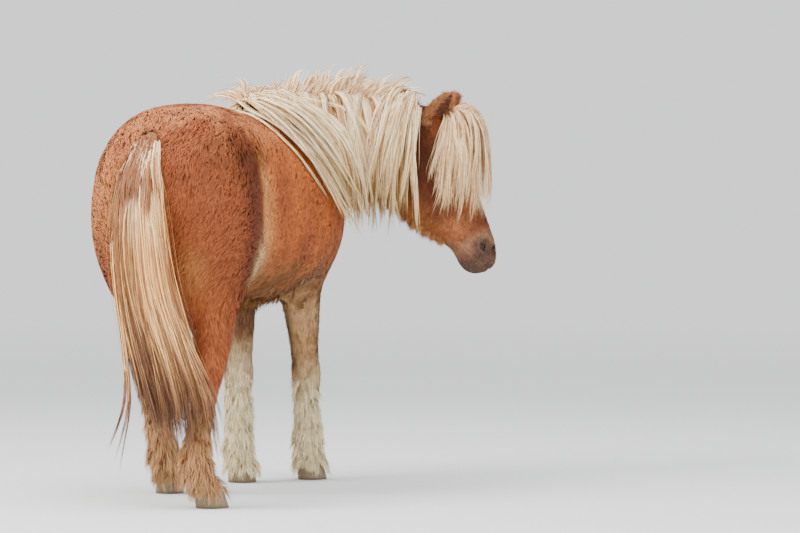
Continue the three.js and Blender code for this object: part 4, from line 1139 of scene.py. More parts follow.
def ramp(share, stops):
    """Colour along a strand, through stops of (share, colour)."""
    places, colours = zip(*stops)
    return np.stack([np.interp(share, places, part) for part in zip(*colours)], -1)


def two_tone(light, dark, dark_share):
    """A look where a share of the strands is of the darker colours; the share may differ by guide."""
    def look(guide, pick):
        limit = dark_share[guide] if np.ndim(dark_share) else dark_share
        darker = (pick < limit)[:, None, None]
        return lambda share: np.where(darker, ramp(share, dark), ramp(share, light))
    return look


# Mane: bunches from the crest to the right over a duller layer, and a ruffle that falls to the left
crest_rows = NECK["fine"][:-1]
crest_ups = [NECK["lengths"][min(i, len(NECK["lengths"]) - 1)][4] for i in range(len(crest_rows))]
CREST = to_level(np.array([row[:3] + up * row[4] for row, up in zip(crest_rows, crest_ups)]), 0, rounds=8)
crest_steps = np.concatenate([[0], np.cumsum(np.linalg.norm(np.diff(CREST, axis=0), axis=1))])
crest_steps /= crest_steps[-1]


def crest_place(shares):
    return np.stack([np.interp(shares, crest_steps, CREST[:, k]) for k in range(3)], 1)


def crest_at(shares):
    along = unit(crest_place(np.minimum(shares + 0.03, 1)) - crest_place(np.maximum(shares - 0.03, 0)))
    return crest_place(shares), along, unit(np.cross(along, UP))


def even_shares(count, start, end):
    return mix(start, end, (np.arange(count) + rng.random(count)) / count)


MANE_SWEEP = 0.4
MANE_HANG = dict(middle=400, more=10, longest_at=0.03, shoulder=100)
RUFFLE_SHARES = [0.0, 0.15, 0.37, 0.48, 0.58, 0.70, 0.77, 0.9, 1.0]
RUFFLE_HEIGHTS = [3, 4, 18, 38, 49, 51, 36, 25, 18]


def ruffle_height(shares):
    return np.interp(shares, RUFFLE_SHARES, RUFFLE_HEIGHTS)


def mane_length(shares):
    wave = np.cos(2 * math.pi * (shares - MANE_HANG["longest_at"]))
    more = MANE_HANG["shoulder"] * (1 - shares) ** 2
    return MANE_HANG["middle"] + MANE_HANG["more"] * wave + more + rng.uniform(-75, 25, len(shares))


def swayed(guides, size):
    """The same guides, each with slow waves of its own from side to side."""
    paths, outs = guides
    count, stations, _ = paths.shape
    t = np.linspace(0, 1, stations)
    along = unit(np.gradient(paths, axis=1))
    across = unit(np.cross(along, outs))
    phase = rng.uniform(0, 7, (count, 1))
    pace = rng.uniform(3, 9, (count, 1))
    bend = size * rng.uniform(0.4, 1.3, (count, 1)) * t * (np.sin(phase + pace * t) - np.sin(phase))
    return paths + across * bend[..., None], outs


def mane_guides(shares, starts, fall, lengths, heights, rises, stiffness=0.8, stations=13, reach=(0, 14)):
    """Ways are given as shares of right, up and along the crest, one row for each guide."""
    count = len(shares)
    place, along, right = crest_at(shares)
    roots = to_level(place + right * rng.uniform(*reach, (count, 1)), 0)

    def way(parts):
        parts = np.broadcast_to(parts, (count, 3))
        return unit(right * parts[:, :1] + UP * parts[:, 1:2] + along * parts[:, 2:])

    return drape(roots, way(starts), way(fall), lengths, heights, stiffness, rises, stations)


def rows_of(*parts):
    return np.stack(np.broadcast_arrays(*parts), -1)


MANE_LIGHT = [
    (0, tone(214, 178, 134)), (0.12, tone(236, 212, 176)), (0.6, FLAXEN), (1, tone(212, 184, 130))]
MANE_DULL = [
    (0, tone(150, 98, 58)), (0.25, tone(178, 128, 76)), (0.6, tone(180, 138, 86)), (1, tone(132, 102, 60))]
MANE_TOPS = [(0, tone(190, 146, 102)), (0.5, tone(236, 210, 172)), (1, tone(238, 214, 180))]


def build_mane():
    some = rng.uniform
    count = 60
    shares = even_shares(count, 0.06, 1.0)
    drift = some(-0.15, 0.15, count) + MANE_SWEEP * (1 - shares) ** 2 - 0.1 * smooth(0.75, 1, shares)
    guides = mane_guides(shares, rows_of(1, 0.4, drift), rows_of(0, -1, drift), mane_length(shares),
                         some(4, 12, count), np.zeros(count))
    guides = swayed(guides, 6)
    look = two_tone(MANE_LIGHT, MANE_DULL, some(0.7, 1.0, count))
    made = [strands("mane_under", guides, look, 36, 9, 2.2, 17, short=0.6)]
    count = 66
    shares = even_shares(count, 0.06, 1.0)
    drift = some(-0.15, 0.2, count) + MANE_SWEEP * (1 - shares) ** 2 - 0.1 * smooth(0.75, 1, shares)
    rises = some(2, 24, count)
    guides = mane_guides(shares, rows_of(1, some(0.2, 0.8, count), drift), rows_of(0, -1, drift),
                         mane_length(shares) + rises, some(10, 30, count), rises)
    guides = swayed(guides, 9)
    look = two_tone(MANE_LIGHT, MANE_DULL, some(0, 1, count) ** 2)
    made.append(strands("mane_right", guides, look, 84, 10, 1.5, 11, short=0.74, loose=0.09))
    count = 60
    shares = even_shares(count, 0.0, 0.14)
    guides = mane_guides(shares, rows_of(some(0.3, 1.0, count), 0.3, some(-1.3, -0.7, count)),
                         rows_of(0, -1, some(0.7, 0.95, count)),
                         some(480, 590, count) * mix(1.08, 0.82, shares / 0.14), some(4, 20, count),
                         np.zeros(count), 0.9)
    made.append(strands("mane_rear", swayed(guides, 7), two_tone(MANE_LIGHT, MANE_DULL, 0.2),
                        46, 10, 1.5, 13, short=0.66, loose=0.03))
    count = 26
    shares = even_shares(count, 0.0, 0.1)
    guides = mane_guides(shares, rows_of(some(-0.9, 0.5, count), 0.15, -1.0), rows_of(0, -1, -1.7),
                         some(110, 220, count), some(3, 9, count), np.zeros(count))
    made.append(strands("mane_withers", guides, two_tone(MANE_LIGHT, MANE_DULL, 0.3),
                        22, 8, 2.0, 16, loose=0.08))
    count = 120
    shares = even_shares(count, 0.08, 0.9)
    rises = ruffle_height(shares) * some(0.45, 0.92, count)
    starts = rows_of(some(-0.6, 0.05, count), 0.2 + ruffle_height(shares) / 50, some(0.1, 0.9, count))
    guides = mane_guides(shares, starts, rows_of(-0.7, -0.8, 0.4),
                         rises + some(110, 200, count) * mix(1, 0.5, shares), some(5, 18, count), rises,
                         0.88, 12, (-6, 8))
    made.append(strands("mane_left", swayed(guides, 6), two_tone(MANE_TOPS, MANE_DULL, 0.3),
                        38, 10, 1.5, 14, short=0.5, loose=0.1))
    made.append(build_ruffle())
    count = 26
    share = even_shares(count, 0, 1)
    roots = to_level(on_heads(mix(-14, -2, share), mix(-48, -24, share), mix(14, -26, share)), 0)
    starts = np.tile(UP * 1.1 - HEAD_LEFT, (count, 1)) + rng.normal(0, 0.2, (count, 3))
    fall = unit(-UP - FACE * some(0.05, 0.2, (count, 1)))
    lengths, heights = some(260, 370, count), some(6, 20, count)
    guides = drape(roots, starts, fall, lengths, heights, 0.8, some(8, 30, count), 12)
    made.append(strands("mane_poll", swayed(guides, 8), two_tone(MANE_LIGHT, MANE_DULL, 0.3),
                        44, 9, 1.5, 13, short=0.55, loose=0.07))
    return made


def build_ruffle():
    """Loose hair that stands over the parting and leans towards the head."""
    count, stations = 260, 7
    shares = even_shares(count, 0.1, 0.98)
    place, along, right = crest_at(shares)
    roots = to_level(place + right * rng.uniform(-12, 8, (count, 1)), 0) - UP * 6
    height = (ruffle_height(shares) * rng.uniform(0.5, 1.12, count))[:, None, None]
    lean = rng.normal(0.65, 0.4, count)[:, None, None]
    aside = rng.uniform(-0.7, 0.25, count)[:, None, None]
    t = np.linspace(0, 1, stations)[None, :, None]
    rise = np.sin(t * rng.uniform(1.1, 1.9, count)[:, None, None])
    sweep = along[:, None] * lean * (0.4 * t + t * t) + right[:, None] * aside * t
    paths = roots[:, None] + height * (UP * rise + sweep)
    outs = np.repeat(right[:, None], stations, 1)
    return strands("mane_ruffle", (paths, outs), two_tone(MANE_TOPS, MANE_DULL, 0.3),
                   11, 7, 1.2, 17, flat=0.8, short=0.45, gather=0.12, loose=0.15)


# Forelock: fanned from down the face to back over its right side
FORELOCK_LIGHT = [(0, tone(214, 172, 130)), (0.3, tone(238, 208, 168)), (1, tone(234, 206, 162))]
FORELOCK_DARK = [(0, WARM), (0.5, tone(190, 142, 96)), (1, tone(168, 120, 78))]


def build_forelock():
    count = 110
    share = even_shares(count, 0, 1)
    roots = to_level(on_heads(rng.uniform(-4, 22, count), 50, mix(22, -26, share)), 0)
    share = share[:, None]
    aside = mix(0.5, -0.95, share)
    starts = BROW * (1.1 - 0.7 * share) + HEAD_LEFT * aside + UP * (0.9 - 0.8 * share)
    fall = MUZZLE * 0.3 * (1 - share) - UP + HEAD_LEFT * 0.12 * aside - FACE * (0.1 + 0.03 * share ** 2)
    fall = unit(fall + rng.normal(0, 0.07, (count, 3)))
    lengths = mix(255, 365, np.sin(math.pi * share[:, 0]) ** 2) + rng.uniform(-125, 45, count)
    rises = mix(34, 2, share[:, 0]) * rng.uniform(0.3, 1.2, count)
    heights = rng.uniform(4, 20, count) + 6 * (1 - share[:, 0])
    guides = drape(roots, starts, fall, lengths, heights, 0.76, rises, 13)
    guides = swayed(guides, 7)
    look = two_tone(FORELOCK_LIGHT, FORELOCK_DARK, rng.uniform(0.05, 0.5, count))
    return strands("forelock", guides, look, 48, 10, 1.3, 11, wave=5.0, short=0.5, loose=0.1)


# Long hair under the jaw and throat
JAW_LOOK = [(0, tone(134, 84, 48)), (1, tone(190, 134, 78))]


def build_jaw_hair():
    count = 520
    share = rng.random(count)
    left = rng.uniform(-44, 44, count)
    roots = to_level(on_heads(mix(70, 310, share), mix(-185, -85, share), left), 0)
    starts = MUZZLE * 0.7 - BROW * 0.8 + HEAD_LEFT * rng.normal(0, 0.3, (count, 1))
    lengths = rng.uniform(14, 38, count) * mix(1.2, 0.6, share)
    fall = unit(MUZZLE * 0.5 - UP + 0.25 * rng.normal(size=(count, 3)))
    guides = drape(roots, starts, fall, lengths, np.full(count, 3.0), 0.7, np.zeros(count), 6, 4)
    return strands("jaw_hair", guides, two_tone(JAW_LOOK, JAW_LOOK, 0), 8, 4, 1.0, 11,
                   gather=0.0, loose=0.1)


# Hair along the belly and behind the elbows
BELLY_HEIGHT = 478.0
BELLY_LOOK = [(0, tone(120, 86, 50)), (1, tone(150, 114, 72))]


def build_belly_hair():
    count = 320
    x = rng.uniform(230, 720, count)
    y = rng.normal(-6, 75, count)
    roots = to_level(np.stack([x, y, np.full(count, BELLY_HEIGHT)], 1), 0, rounds=8)
    starts = np.tile(np.array([-0.9, 0.0, -0.6]), (count, 1)) + rng.normal(0, 0.25, (count, 3))
    lengths = rng.uniform(20, 38, count)
    heights, rises = np.full(count, 2.0), np.zeros(count)
    guides = drape(roots, starts, unit([-0.5, 0, -1.0]), lengths, heights, 0.7, rises, 6, 4)
    return strands("belly_hair", guides, two_tone(BELLY_LOOK, BELLY_LOOK, 0), 10, 4, 1.4, 12,
                   gather=0.3, loose=0.1)


# Tail: a dock in short brown hair, streams from both its sides, and long hair that falls together
TAIL_LINE = np.array([
    (30, 8, 900), (-20, 8, 888), (-58, 18, 800), (-88, 4, 680), (-112, -24, 540), (-144, -76, 400),
    (-178, -136, 250), (-206, -166, 96)], float)
TAIL_WIDTHS = [30, 44, 64, 72, 76, 84, 90, 72]
TAIL_DEPTHS = [12, 16, 28, 34, 38, 38, 34, 24]
GOLDEN_TURN = 2.39996
DOCK_SHARE = 0.3
DOCK_WIDTH = 32.0
DOCK_DEPTH = 22.0


def tail_point(shares):
    return spline(TAIL_LINE, np.clip(shares, 0, 1) * (len(TAIL_LINE) - 1))


def tail_ways(shares):
    down = unit(tail_point(np.minimum(shares + 0.01, 1)) - tail_point(np.maximum(shares - 0.01, 0)))
    wide = unit(np.cross(down, np.array([1.0, 0, 0])))
    return down, wide, unit(np.cross(wide, down))


def along_tail(values, shares):
    return np.interp(shares, np.linspace(0, 1, len(values)), values)


def tail_guides(aside, behind, start, end, stray, stations=16):
    """Guides that leave the dock at their start and keep their place across the tail."""
    count = len(aside)
    t = np.linspace(0, 1, stations)
    shares = mix(start[:, None], end[:, None], t)
    down, wide, deep = tail_ways(shares)
    spread = smooth(0, 0.3, t)
    reach_aside = mix(DOCK_WIDTH, along_tail(TAIL_WIDTHS, shares), spread)
    reach_back = mix(DOCK_DEPTH * 0.8, along_tail(TAIL_DEPTHS, shares), spread)
    sway = rng.uniform(-0.08, 0.08, (count, 1)) * np.sin(1.5 * math.pi * t)
    across = (aside[:, None] + sway + stray[:, None] * t ** 5) * reach_aside
    spots = tail_point(shares) + wide * across[..., None] + deep * (behind[:, None] * reach_back)[..., None]
    flat_spots = spots.reshape(-1, 3)
    lift = 9 - ground(flat_spots)
    lift.reshape(count, stations)[:, 0] = 0
    low = lift > 0
    flat_spots[low] += slope_of(flat_spots[low], ground) * lift[low][:, None]
    spots = flat_spots.reshape(count, stations, 3)
    outs = unit(deep * np.where(behind < 0, -1, 1)[:, None, None] + wide * (0.8 * aside)[:, None, None])
    return spots, outs


TAIL_LIGHT = [(0, tone(222, 194, 156)), (0.15, tone(232, 204, 164)), (0.4, tone(210, 160, 96)),
              (0.7, tone(220, 172, 118)), (0.86, tone(140, 98, 64)), (1, tone(68, 48, 36))]
TAIL_DARK = [(0, tone(166, 118, 86)), (0.3, tone(158, 108, 66)), (0.6, tone(126, 84, 54)),
             (0.85, tone(98, 64, 48)), (1, tone(78, 52, 42))]
DOCK_SKIN = tone(156, 94, 60)
DOCK_LOOK = [(0, tone(160, 98, 64)), (0.5, tone(146, 94, 62)), (1, tone(166, 116, 76))]


def build_tail():
    count = 170
    turn = np.arange(count) * GOLDEN_TURN
    reach = np.sqrt((np.arange(count) + 0.5) / count)
    aside, behind = reach * np.cos(turn), reach * np.sin(turn)
    start = rng.uniform(0.04, 0.25, count)
    top = behind < -0.3
    start[top] = np.maximum(start[top], 0.06 + 0.2 * (1 - np.abs(aside[top])))
    end = mix(1.02, 0.94, reach) + rng.uniform(-0.12, 0.0, count)
    guides = swayed(tail_guides(aside, behind, start, end, rng.normal(0, 0.06, count)), 7)
    dark = 0.26 + 0.5 * np.exp(-((aside + 0.55) / 0.42) ** 2) - 0.2 * smooth(0.2, 0.8, aside)
    dark = dark + rng.uniform(-0.2, 0.2, count)
    look = two_tone(TAIL_LIGHT, TAIL_DARK, dark)
    made = [strands("tail_long", guides, look, 38, 12, 2.0, 15,
                    wave=6.0, short=0.7, gather=0.8)]
    aside = np.concatenate([rng.uniform(-1.0, -0.9, 5), rng.uniform(0.75, 0.95, 8)])
    stray = np.concatenate([rng.uniform(-1.75, -1.45, 5), rng.uniform(0.15, 0.6, 8)])
    count = len(aside)
    end = rng.uniform(0.93, 1.01, count)
    guides = tail_guides(aside, np.full(count, -0.4), np.full(count, 0.25), end, stray)
    look = two_tone(TAIL_LIGHT, TAIL_DARK, 0.6)
    made.append(strands("tail_strays", guides, look, 26, 14, 2.2, 8, short=0.8))
    count = 60
    start = rng.uniform(0.0, 0.24, count)
    aside = rng.uniform(-0.6, 0.6, count)
    end = start + rng.uniform(0.1, 0.2, count)
    guides = tail_guides(aside, np.full(count, -1.0), start, end, np.zeros(count), 6)
    look = two_tone(DOCK_LOOK, TAIL_DARK, 0.35)
    made.append(strands("tail_dock", guides, look, 30, 5, 1.8, 13, wave=2.0, gather=0.3))
    return made


def build_dock():
    stations, sides = 20, 28
    shares = np.linspace(0, DOCK_SHARE, stations)
    _, wide, deep = tail_ways(shares)
    turn = 2 * math.pi * np.arange(sides)[:, None] / sides
    size = (0.86 - 0.43 * shares / DOCK_SHARE)[:, None, None]
    rings = tail_point(shares)[:, None] + size * (
        wide[:, None] * DOCK_WIDTH * np.cos(turn) + deep[:, None] * DOCK_DEPTH * np.sin(turn))
    points, faces = closed_rings(rings)
    dock = make_mesh("dock", points, faces, np.tile(DOCK_SKIN, (len(points), 1)))
    return dock


# Feather: long hair down the back of each cannon, round the fetlock and over the hoof
FEATHER_GUIDES = 330
FEATHER_TOP, FEATHER_END = 290, 50
FEATHER_HIND = tone(188, 150, 106)


def build_feather(name, leg):
    forward, left, _ = hoof_frame(leg)
    count = FEATHER_GUIDES
    level = rng.random(count) ** 0.6
    heights = mix(FEATHER_TOP, FEATHER_END, level)
    places = leg["fine"]
    index = np.abs(places[:, 2][None] - heights[:, None]).argmin(1)
    turn = np.where(rng.random(count) < 0.5, 1, -1) * rng.uniform(0, mix(1.1, 3.14, level ** 0.7), count)
    back = left * np.sin(turn)[:, None] - forward * np.cos(turn)[:, None]
    spots = places[index, :3] + back * places[index, 5][:, None]
    spots[:, 2] = heights + rng.uniform(-12, 12, count)
    roots = to_level(spots, 0)
    lengths = rng.uniform(30, 60, count) * mix(0.55, 1.0, smooth(0, 0.4, level))
    flare = rng.uniform(0.0, 0.35, (count, 1)) * mix(0.5, 1.2, level)[:, None]
    fall = unit(flare * back - UP + 0.12 * rng.normal(size=(count, 3)))
    heights = rng.uniform(2, 6, count)
    guides = drape(roots, back - UP * 1.5, fall, lengths, heights, 0.6, np.zeros(count), 7, 4)
    base = colours_with_painted_light(roots, slope_of(roots, flesh))
    pale = SOCK if name.startswith("fore") else FEATHER_HIND

    def look(guide, pick):
        start = mix(base, pale, 0.3)[guide][:, None, :]
        end = mix(base, pale * 1.08, 0.85)[guide][:, None, :]
        return lambda share: mix(start, end, share[..., None])

    return strands("feather_" + name, guides, look, 12, 5, 1.3, 10,
                   wave=4.0, gather=0.15, loose=0.12)


hair_pieces = build_mane()
hair_pieces += [build_forelock(), build_jaw_hair(), build_belly_hair()]
hair_pieces += [*build_tail(), build_dock()]
hair_pieces += [build_feather(name, leg) for name, leg in LEGS.items()]


# Ears: pointed cups, open to the front and side, with hair inside
EAR_HAIRS = 4200
# partly darker skin and hair, partly painted shade in the hollow of the ear's cup
EAR_HOLLOW_SHADE = tone(92, 56, 44)
EAR_HAIR_SHADE = tone(114, 74, 58)
EAR_HAIR_INSIDE = tone(168, 118, 80)


def ear_rings(sign, stations, sides):
    root = on_head(EAR_PLACE[0], EAR_PLACE[1] + 5, sign * EAR_PLACE[2])
    tip_way = unit(-0.76 * MUZZLE + 1.02 * BROW + 0.3 * sign * HEAD_LEFT)
    mouth = 0.68 * BROW + 0.74 * sign * HEAD_LEFT
    mouth = unit(mouth - mouth.dot(tip_way) * tip_way)
    across = np.cross(tip_way, mouth)
    rings = []
    for t in np.linspace(0, 0.985, stations):
        place = root + tip_way * EAR_LENGTH * mix(-0.2, 1, t)
        width = EAR_WIDTH * math.sin(math.pi * mix(0.26, 0.98, t)) ** 0.85
        depth = EAR_DEPTH * (1 - t) ** 0.6 + 3
        open_share = smooth(0.2, 0.3, np.array(t))
        cup = math.sin(math.pi * min(1, max(0, (t - 0.2) / 0.8)))
        hollow = depth * 0.85 * cup * open_share
        edge = mix(depth / 2, 4.0, open_share)
        turn = 2 * math.pi * np.arange(sides) / sides
        out = np.sin(turn)
        rise = np.where(out < 0, out * depth, out * (edge - hollow))
        rise = rise - 2.0 * np.exp(-((np.abs(np.cos(turn)) - 1) / 0.05) ** 2) * open_share
        rings.append(place + across * (width * np.cos(turn))[:, None] + mouth * rise[:, None])
    return np.array(rings), tip_way, mouth, across


def build_ear(name, sign):
    stations, sides = 22, 40
    rings, tip_way, mouth, across = ear_rings(sign, stations, sides)
    points, faces = closed_rings(rings, end=rings[-1].mean(0) + tip_way * 2)
    turn = np.append(np.tile(2 * math.pi * np.arange(sides) / sides, stations), [0, 0])
    level = np.append(np.repeat(np.linspace(0, 1, stations), sides), [0, 1])
    front = smooth(-0.45, 0.2, -sign * np.cos(turn))
    # painted shade over the ear's own colour inside the cup
    inside = smooth(0.05, 0.4, np.sin(turn)) * smooth(0.2, 0.35, level) * front
    colours = np.tile(EAR_BACK, (len(points), 1))
    colours = blend_in(colours, EAR_HOLLOW_SHADE, inside)
    colours = colours * (1 + 0.16 * ripple(points, 26, 15))[:, None]
    colours = blend_in(colours, DARK, 0.6 * smooth(0.8, 1.0, level))
    ear = make_mesh("ear_" + name + "_skin", points, faces, colours)
    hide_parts("ear_" + name)
    # short hair outside and longer hair inside
    count = EAR_HAIRS
    row = rng.uniform(2, stations - 2.2, count)
    column = rng.integers(0, sides, count)
    base_row = row.astype(int)
    roots = mix(rings[base_row, column], rings[base_row + 1, column], (row - base_row)[:, None])
    roots += across * rng.uniform(-1.2, 1.2, (count, 1))
    middle = rings[base_row].mean(1)
    turned = 2 * math.pi * column / sides
    inner = np.sin(turned) > 0.05
    deep = inner & (np.abs(-sign * np.cos(turned) - 0.25) < 0.55)
    outward = unit(roots - middle - ((roots - middle) @ tip_way)[:, None] * tip_way)
    outward = np.where(inner[:, None], mouth, outward)
    length = np.where(inner, np.where(deep, 9, rng.uniform(10, 22, count)), rng.uniform(8, 18, count))
    way = unit(tip_way + outward * np.where(inner, 0.4, 0.22)[:, None] + 0.32 * rng.normal(size=(count, 3)))
    t = np.linspace(0, 1, 4)
    paths = roots[:, None] - outward[:, None] * 0.6 + way[:, None] * (length[:, None] * t)[..., None]
    paths = paths + outward[:, None] * (1.2 * np.sqrt(t))[None, :, None]
    side = unit(np.cross(outward, way))
    sides_of = np.repeat(side[:, None], 4, 1)
    widths = rng.uniform(0.8, 1.5, (count, 1)) * np.array([0.9, 1, 0.6, 0])
    shade = np.where(inner[:, None], EAR_HAIR_INSIDE, EAR_BACK)
    shade = np.where(deep[:, None], EAR_HAIR_SHADE, shade)
    shade = shade * rng.normal(1, 0.3, (count, 1)).clip(0.3, 1.7)

    def colours_at(share):
        # painted shade at the roots of the ear hairs, lighter towards the tips
        return shade[:, None, :] * mix(0.75, 1.15, share)[..., None]

    facing = np.repeat(unit(outward + 0.15 * rng.normal(size=(count, 3)))[:, None], 4, 1)
    hair = strip_piece("ear_" + name + "_hair", paths, sides_of, widths, roots, colours_at, facing)
    return [ear, hair]


ears = build_ear("left", 1) + build_ear("right", -1)


# Eyes: a dark horizontal pupil in a brown iris, between two lids with lashes
PUPIL = tone(14, 9, 7)
IRIS = tone(92, 52, 24)
EYE_WHITE = tone(52, 34, 26)
LID = tone(58, 38, 28)
LASH = tone(60, 36, 22)
CORNEA = 0.035


def build_eye(name):
    centre, out, forward, upward = EYES[name]
    around, down = 48, 32
    polar = math.pi * np.arange(1, down)[:, None] / down
    turn = 2 * math.pi * np.arange(around) / around
    a, b, c = np.sin(polar) * np.cos(turn), np.sin(polar) * np.sin(turn), np.cos(polar) + 0 * turn
    radius = EYE_RADIUS * (1 + CORNEA * np.exp(-(polar / 0.55) ** 2))
    rings = centre + radius[..., None] * (
        a[..., None] * forward + b[..., None] * upward + c[..., None] * out)
    points, faces = closed_rings(rings, centre + EYE_RADIUS * (1 + CORNEA) * out, centre - EYE_RADIUS * out)
    pupil = np.append(np.hypot(a / 0.42, b / 0.24), [0, FAR])
    iris = np.append(np.hypot(a / 0.72, b / 0.66), [0, FAR])
    colours = blend_in(np.tile(IRIS, (len(points), 1)), PUPIL, smooth(1.15, 0.9, pupil))
    colours = blend_in(colours, EYE_WHITE, smooth(0.85, 1.05, iris))
    eye = make_mesh("eye_" + name + "_ball", points, [part[:, ::-1] for part in faces], colours)
    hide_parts("eye_" + name)
    return eye


def lid_edge(frame_of_eye, angle, part, half_length=15.5, half_height=9.8, lift=1.6):
    centre, out, forward, upward = frame_of_eye
    x = half_length * np.cos(angle)
    y = part * half_height * np.sin(angle)
    z = np.sqrt((EYE_RADIUS + lift) ** 2 - x * x - y * y)
    return centre + np.outer(x, forward) + np.outer(y, upward) + np.outer(z, out)


def build_lids(name):
    frame_of_eye = EYES[name]
    out = frame_of_eye[1]
    built = []
    for side_name, part, thick in (("upper", 1, 4.0), ("lower", -1, 3.0)):
        stations, sides = 28, 12
        t = np.linspace(0, 1, stations)
        angle = math.pi * mix(-0.04, 1.04, t)
        spots = lid_edge(frame_of_eye, angle, part)
        tangent = unit(np.gradient(spots, axis=0))
        outward = unit(out - (tangent @ out)[:, None] * tangent)
        aside = np.cross(tangent, outward)
        girth = thick * (0.5 + 0.5 * np.sin(math.pi * t))
        turn = 2 * math.pi * np.arange(sides) / sides
        rings = (spots[:, None] + aside[:, None] * (1.5 * girth[:, None] * np.cos(turn))[..., None]
                 + outward[:, None] * (0.85 * girth[:, None] * np.sin(turn))[..., None])
        points, faces = closed_rings(rings)
        lid = make_mesh("lid_" + side_name + "_" + name, points, faces, np.tile(LID, (len(points), 1)))
        built.append(lid)
    count = 46
    angle = math.pi * np.linspace(0.12, 0.88, count)
    roots = lid_edge(frame_of_eye, angle, 1, lift=4.5)
    upward = frame_of_eye[3]
    way = unit(out + 0.25 * upward + rng.normal(0, 0.1, (count, 3)))
    t = np.linspace(0, 1, 4)
    paths = roots[:, None] + way[:, None] * (11 * t)[None, :, None] - upward * (3.5 * t ** 2)[None, :, None]
    side = unit(np.cross(way, upward))
    widths = np.full((count, 1), 0.7) * np.array([1, 0.9, 0.6, 0])
    lashes = strip_piece("lashes_" + name, paths, np.repeat(side[:, None], 4, 1), widths, roots,
                         lambda share: np.tile(LASH, share.shape + (1,)), np.repeat(way[:, None], 4, 1))
    return built + [lashes]


eyes = [build_eye("left"), build_eye("right")]
lids = build_lids("left") + build_lids("right")


# Hooves: worn horn with low growth rings
HORN = tone(128, 112, 90)
HORN_PALE = tone(164, 142, 112)
HORN_DARK = tone(88, 72, 56)


def build_hoof(name, leg):
    forward, left, centre = hoof_frame(leg)
    sides, levels = 56, 22
    turn = 2 * math.pi * np.arange(sides) / sides
    reach = np.where(np.cos(turn) > 0, HOOF_LENGTH, HOOF_HEEL) * np.cos(turn)
    rings = []
    for level in np.linspace(0, 1, levels):
        growth = 0.35 * math.sin(level * 52) * (level > 0.05)
        size = (mix(1.0, 0.86, level) + growth / 60) * (0.985 if level < 0.04 else 1)
        along, aside = reach * size, HOOF_WIDTH * np.sin(turn) * size
        height = level * (HOOF_HEIGHT + 2 + CORONET_SLOPE * along * 0.9)
        ring = centre + np.outer(along - 0.30 * height, forward) + np.outer(aside, left)
        ring[:, 2] = height
        rings.append(ring)
    points, faces = closed_rings(np.array(rings), start=centre)
    z = points[:, 2]
    colours = blend_in(np.tile(HORN, (len(points), 1)), HORN_PALE, smooth(18, 50, z))
    colours = blend_in(colours, HORN_DARK, 0.7 * smooth(12, 0, z))
    colours = colours * (1 + 0.12 * ripple(points * np.array([1, 1, 0.25]), 14, 4))[:, None]
    hoof = make_mesh("horn_" + name, points, faces, colours)
    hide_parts("hoof_" + name)
    return hoof


hooves = [build_hoof(name, leg) for name, leg in LEGS.items()]


# Materials
def fill(node, values):
    for socket, value in values.items():
        node.inputs[socket].default_value = value


def material(name, roughness, scale, specular, bump=0.0, coat=0.0):
    """The mesh's own colours with a fine grain, also as relief where there is bump."""
    made = bpy.data.materials.new(name)
    made.use_nodes = True
    nodes, links = made.node_tree.nodes, made.node_tree.links
    shader = nodes["Principled BSDF"]
    fill(shader, {"Roughness": roughness, "Specular IOR Level": specular, "Coat Weight": coat,
                  "Coat Roughness": 0.05})
    colour = nodes.new("ShaderNodeVertexColor")
    colour.layer_name = "coat"
    place = nodes.new("ShaderNodeTexCoord")
    stretch = nodes.new("ShaderNodeMapping")
    fill(stretch, {"Scale": scale})
    noise = nodes.new("ShaderNodeTexNoise")
    fill(noise, {"Scale": 1.0, "Detail": 6.0})
    links.new(place.outputs["Object"], stretch.inputs["Vector"])
    links.new(stretch.outputs["Vector"], noise.inputs["Vector"])
    tint = nodes.new("ShaderNodeMix")
    tint.data_type = "RGBA"
    tint.blend_type = "MULTIPLY"
    fill(tint, {"Factor": 1.0})
    spread = nodes.new("ShaderNodeMapRange")
    fill(spread, {"From Min": 0.3, "From Max": 0.7, "To Min": 0.82, "To Max": 1.12})
    links.new(noise.outputs["Fac"], spread.inputs["Value"])
    links.new(colour.outputs["Color"], tint.inputs["A"])
    links.new(spread.outputs["Result"], tint.inputs["B"])
    links.new(tint.outputs["Result"], shader.inputs["Base Color"])
    if bump > 0:
        relief = nodes.new("ShaderNodeBump")
        fill(relief, {"Strength": bump, "Distance": 0.002})
        links.new(noise.outputs["Fac"], relief.inputs["Height"])
        links.new(relief.outputs["Normal"], shader.inputs["Normal"])
    return made


def dress(pieces, made):
    for piece in pieces:
        piece.data.materials.clear()
        piece.data.materials.append(made)


def named(pieces, part):
    return [piece for piece in pieces if part in piece.name]


dress([skin, *named(ears, "_skin")], material("short_hair", 0.8, (420, 420, 160), 0.15, bump=0.5))
dress([*coats, *named(ears, "_hair"), *named(lids, "lashes_")],
      material("coat_tufts", 0.6, (260, 260, 90), 0.2))
dress(hair_pieces, material("long_hair", 0.5, (300, 300, 40), 0.25))
dress(eyes, material("eye", 0.08, (200, 200, 200), 0.6, coat=1.0))
dress(named(lids, "lid_"), material("lid", 0.45, (500, 500, 500), 0.45, bump=0.4))
dress(hooves, material("horn", 0.5, (120, 120, 700), 0.4, bump=0.6))

flesh_nodes = ["head", "neck_upper", "neck_base", "torso"]
flesh_nodes += [f"leg_{leg}_{part}" for leg in LEGS for part in ("upper", "lower")]
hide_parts(*flesh_nodes)
for piece in hair_pieces:
    if piece.name == "tail_long":
        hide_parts("tail")
for piece in [skin, *coats, *hair_pieces, *ears, *eyes, *lids, *hooves]:
    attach(piece, "root")


# Stage: a pale floor that runs out into the even backdrop
BACKDROP = (0.80, 0.81, 0.82)
BACKDROP_GLOW = 1.5
FLOOR_RADIUS = 90
FADE_START, FADE_END = 2.0, 9.0


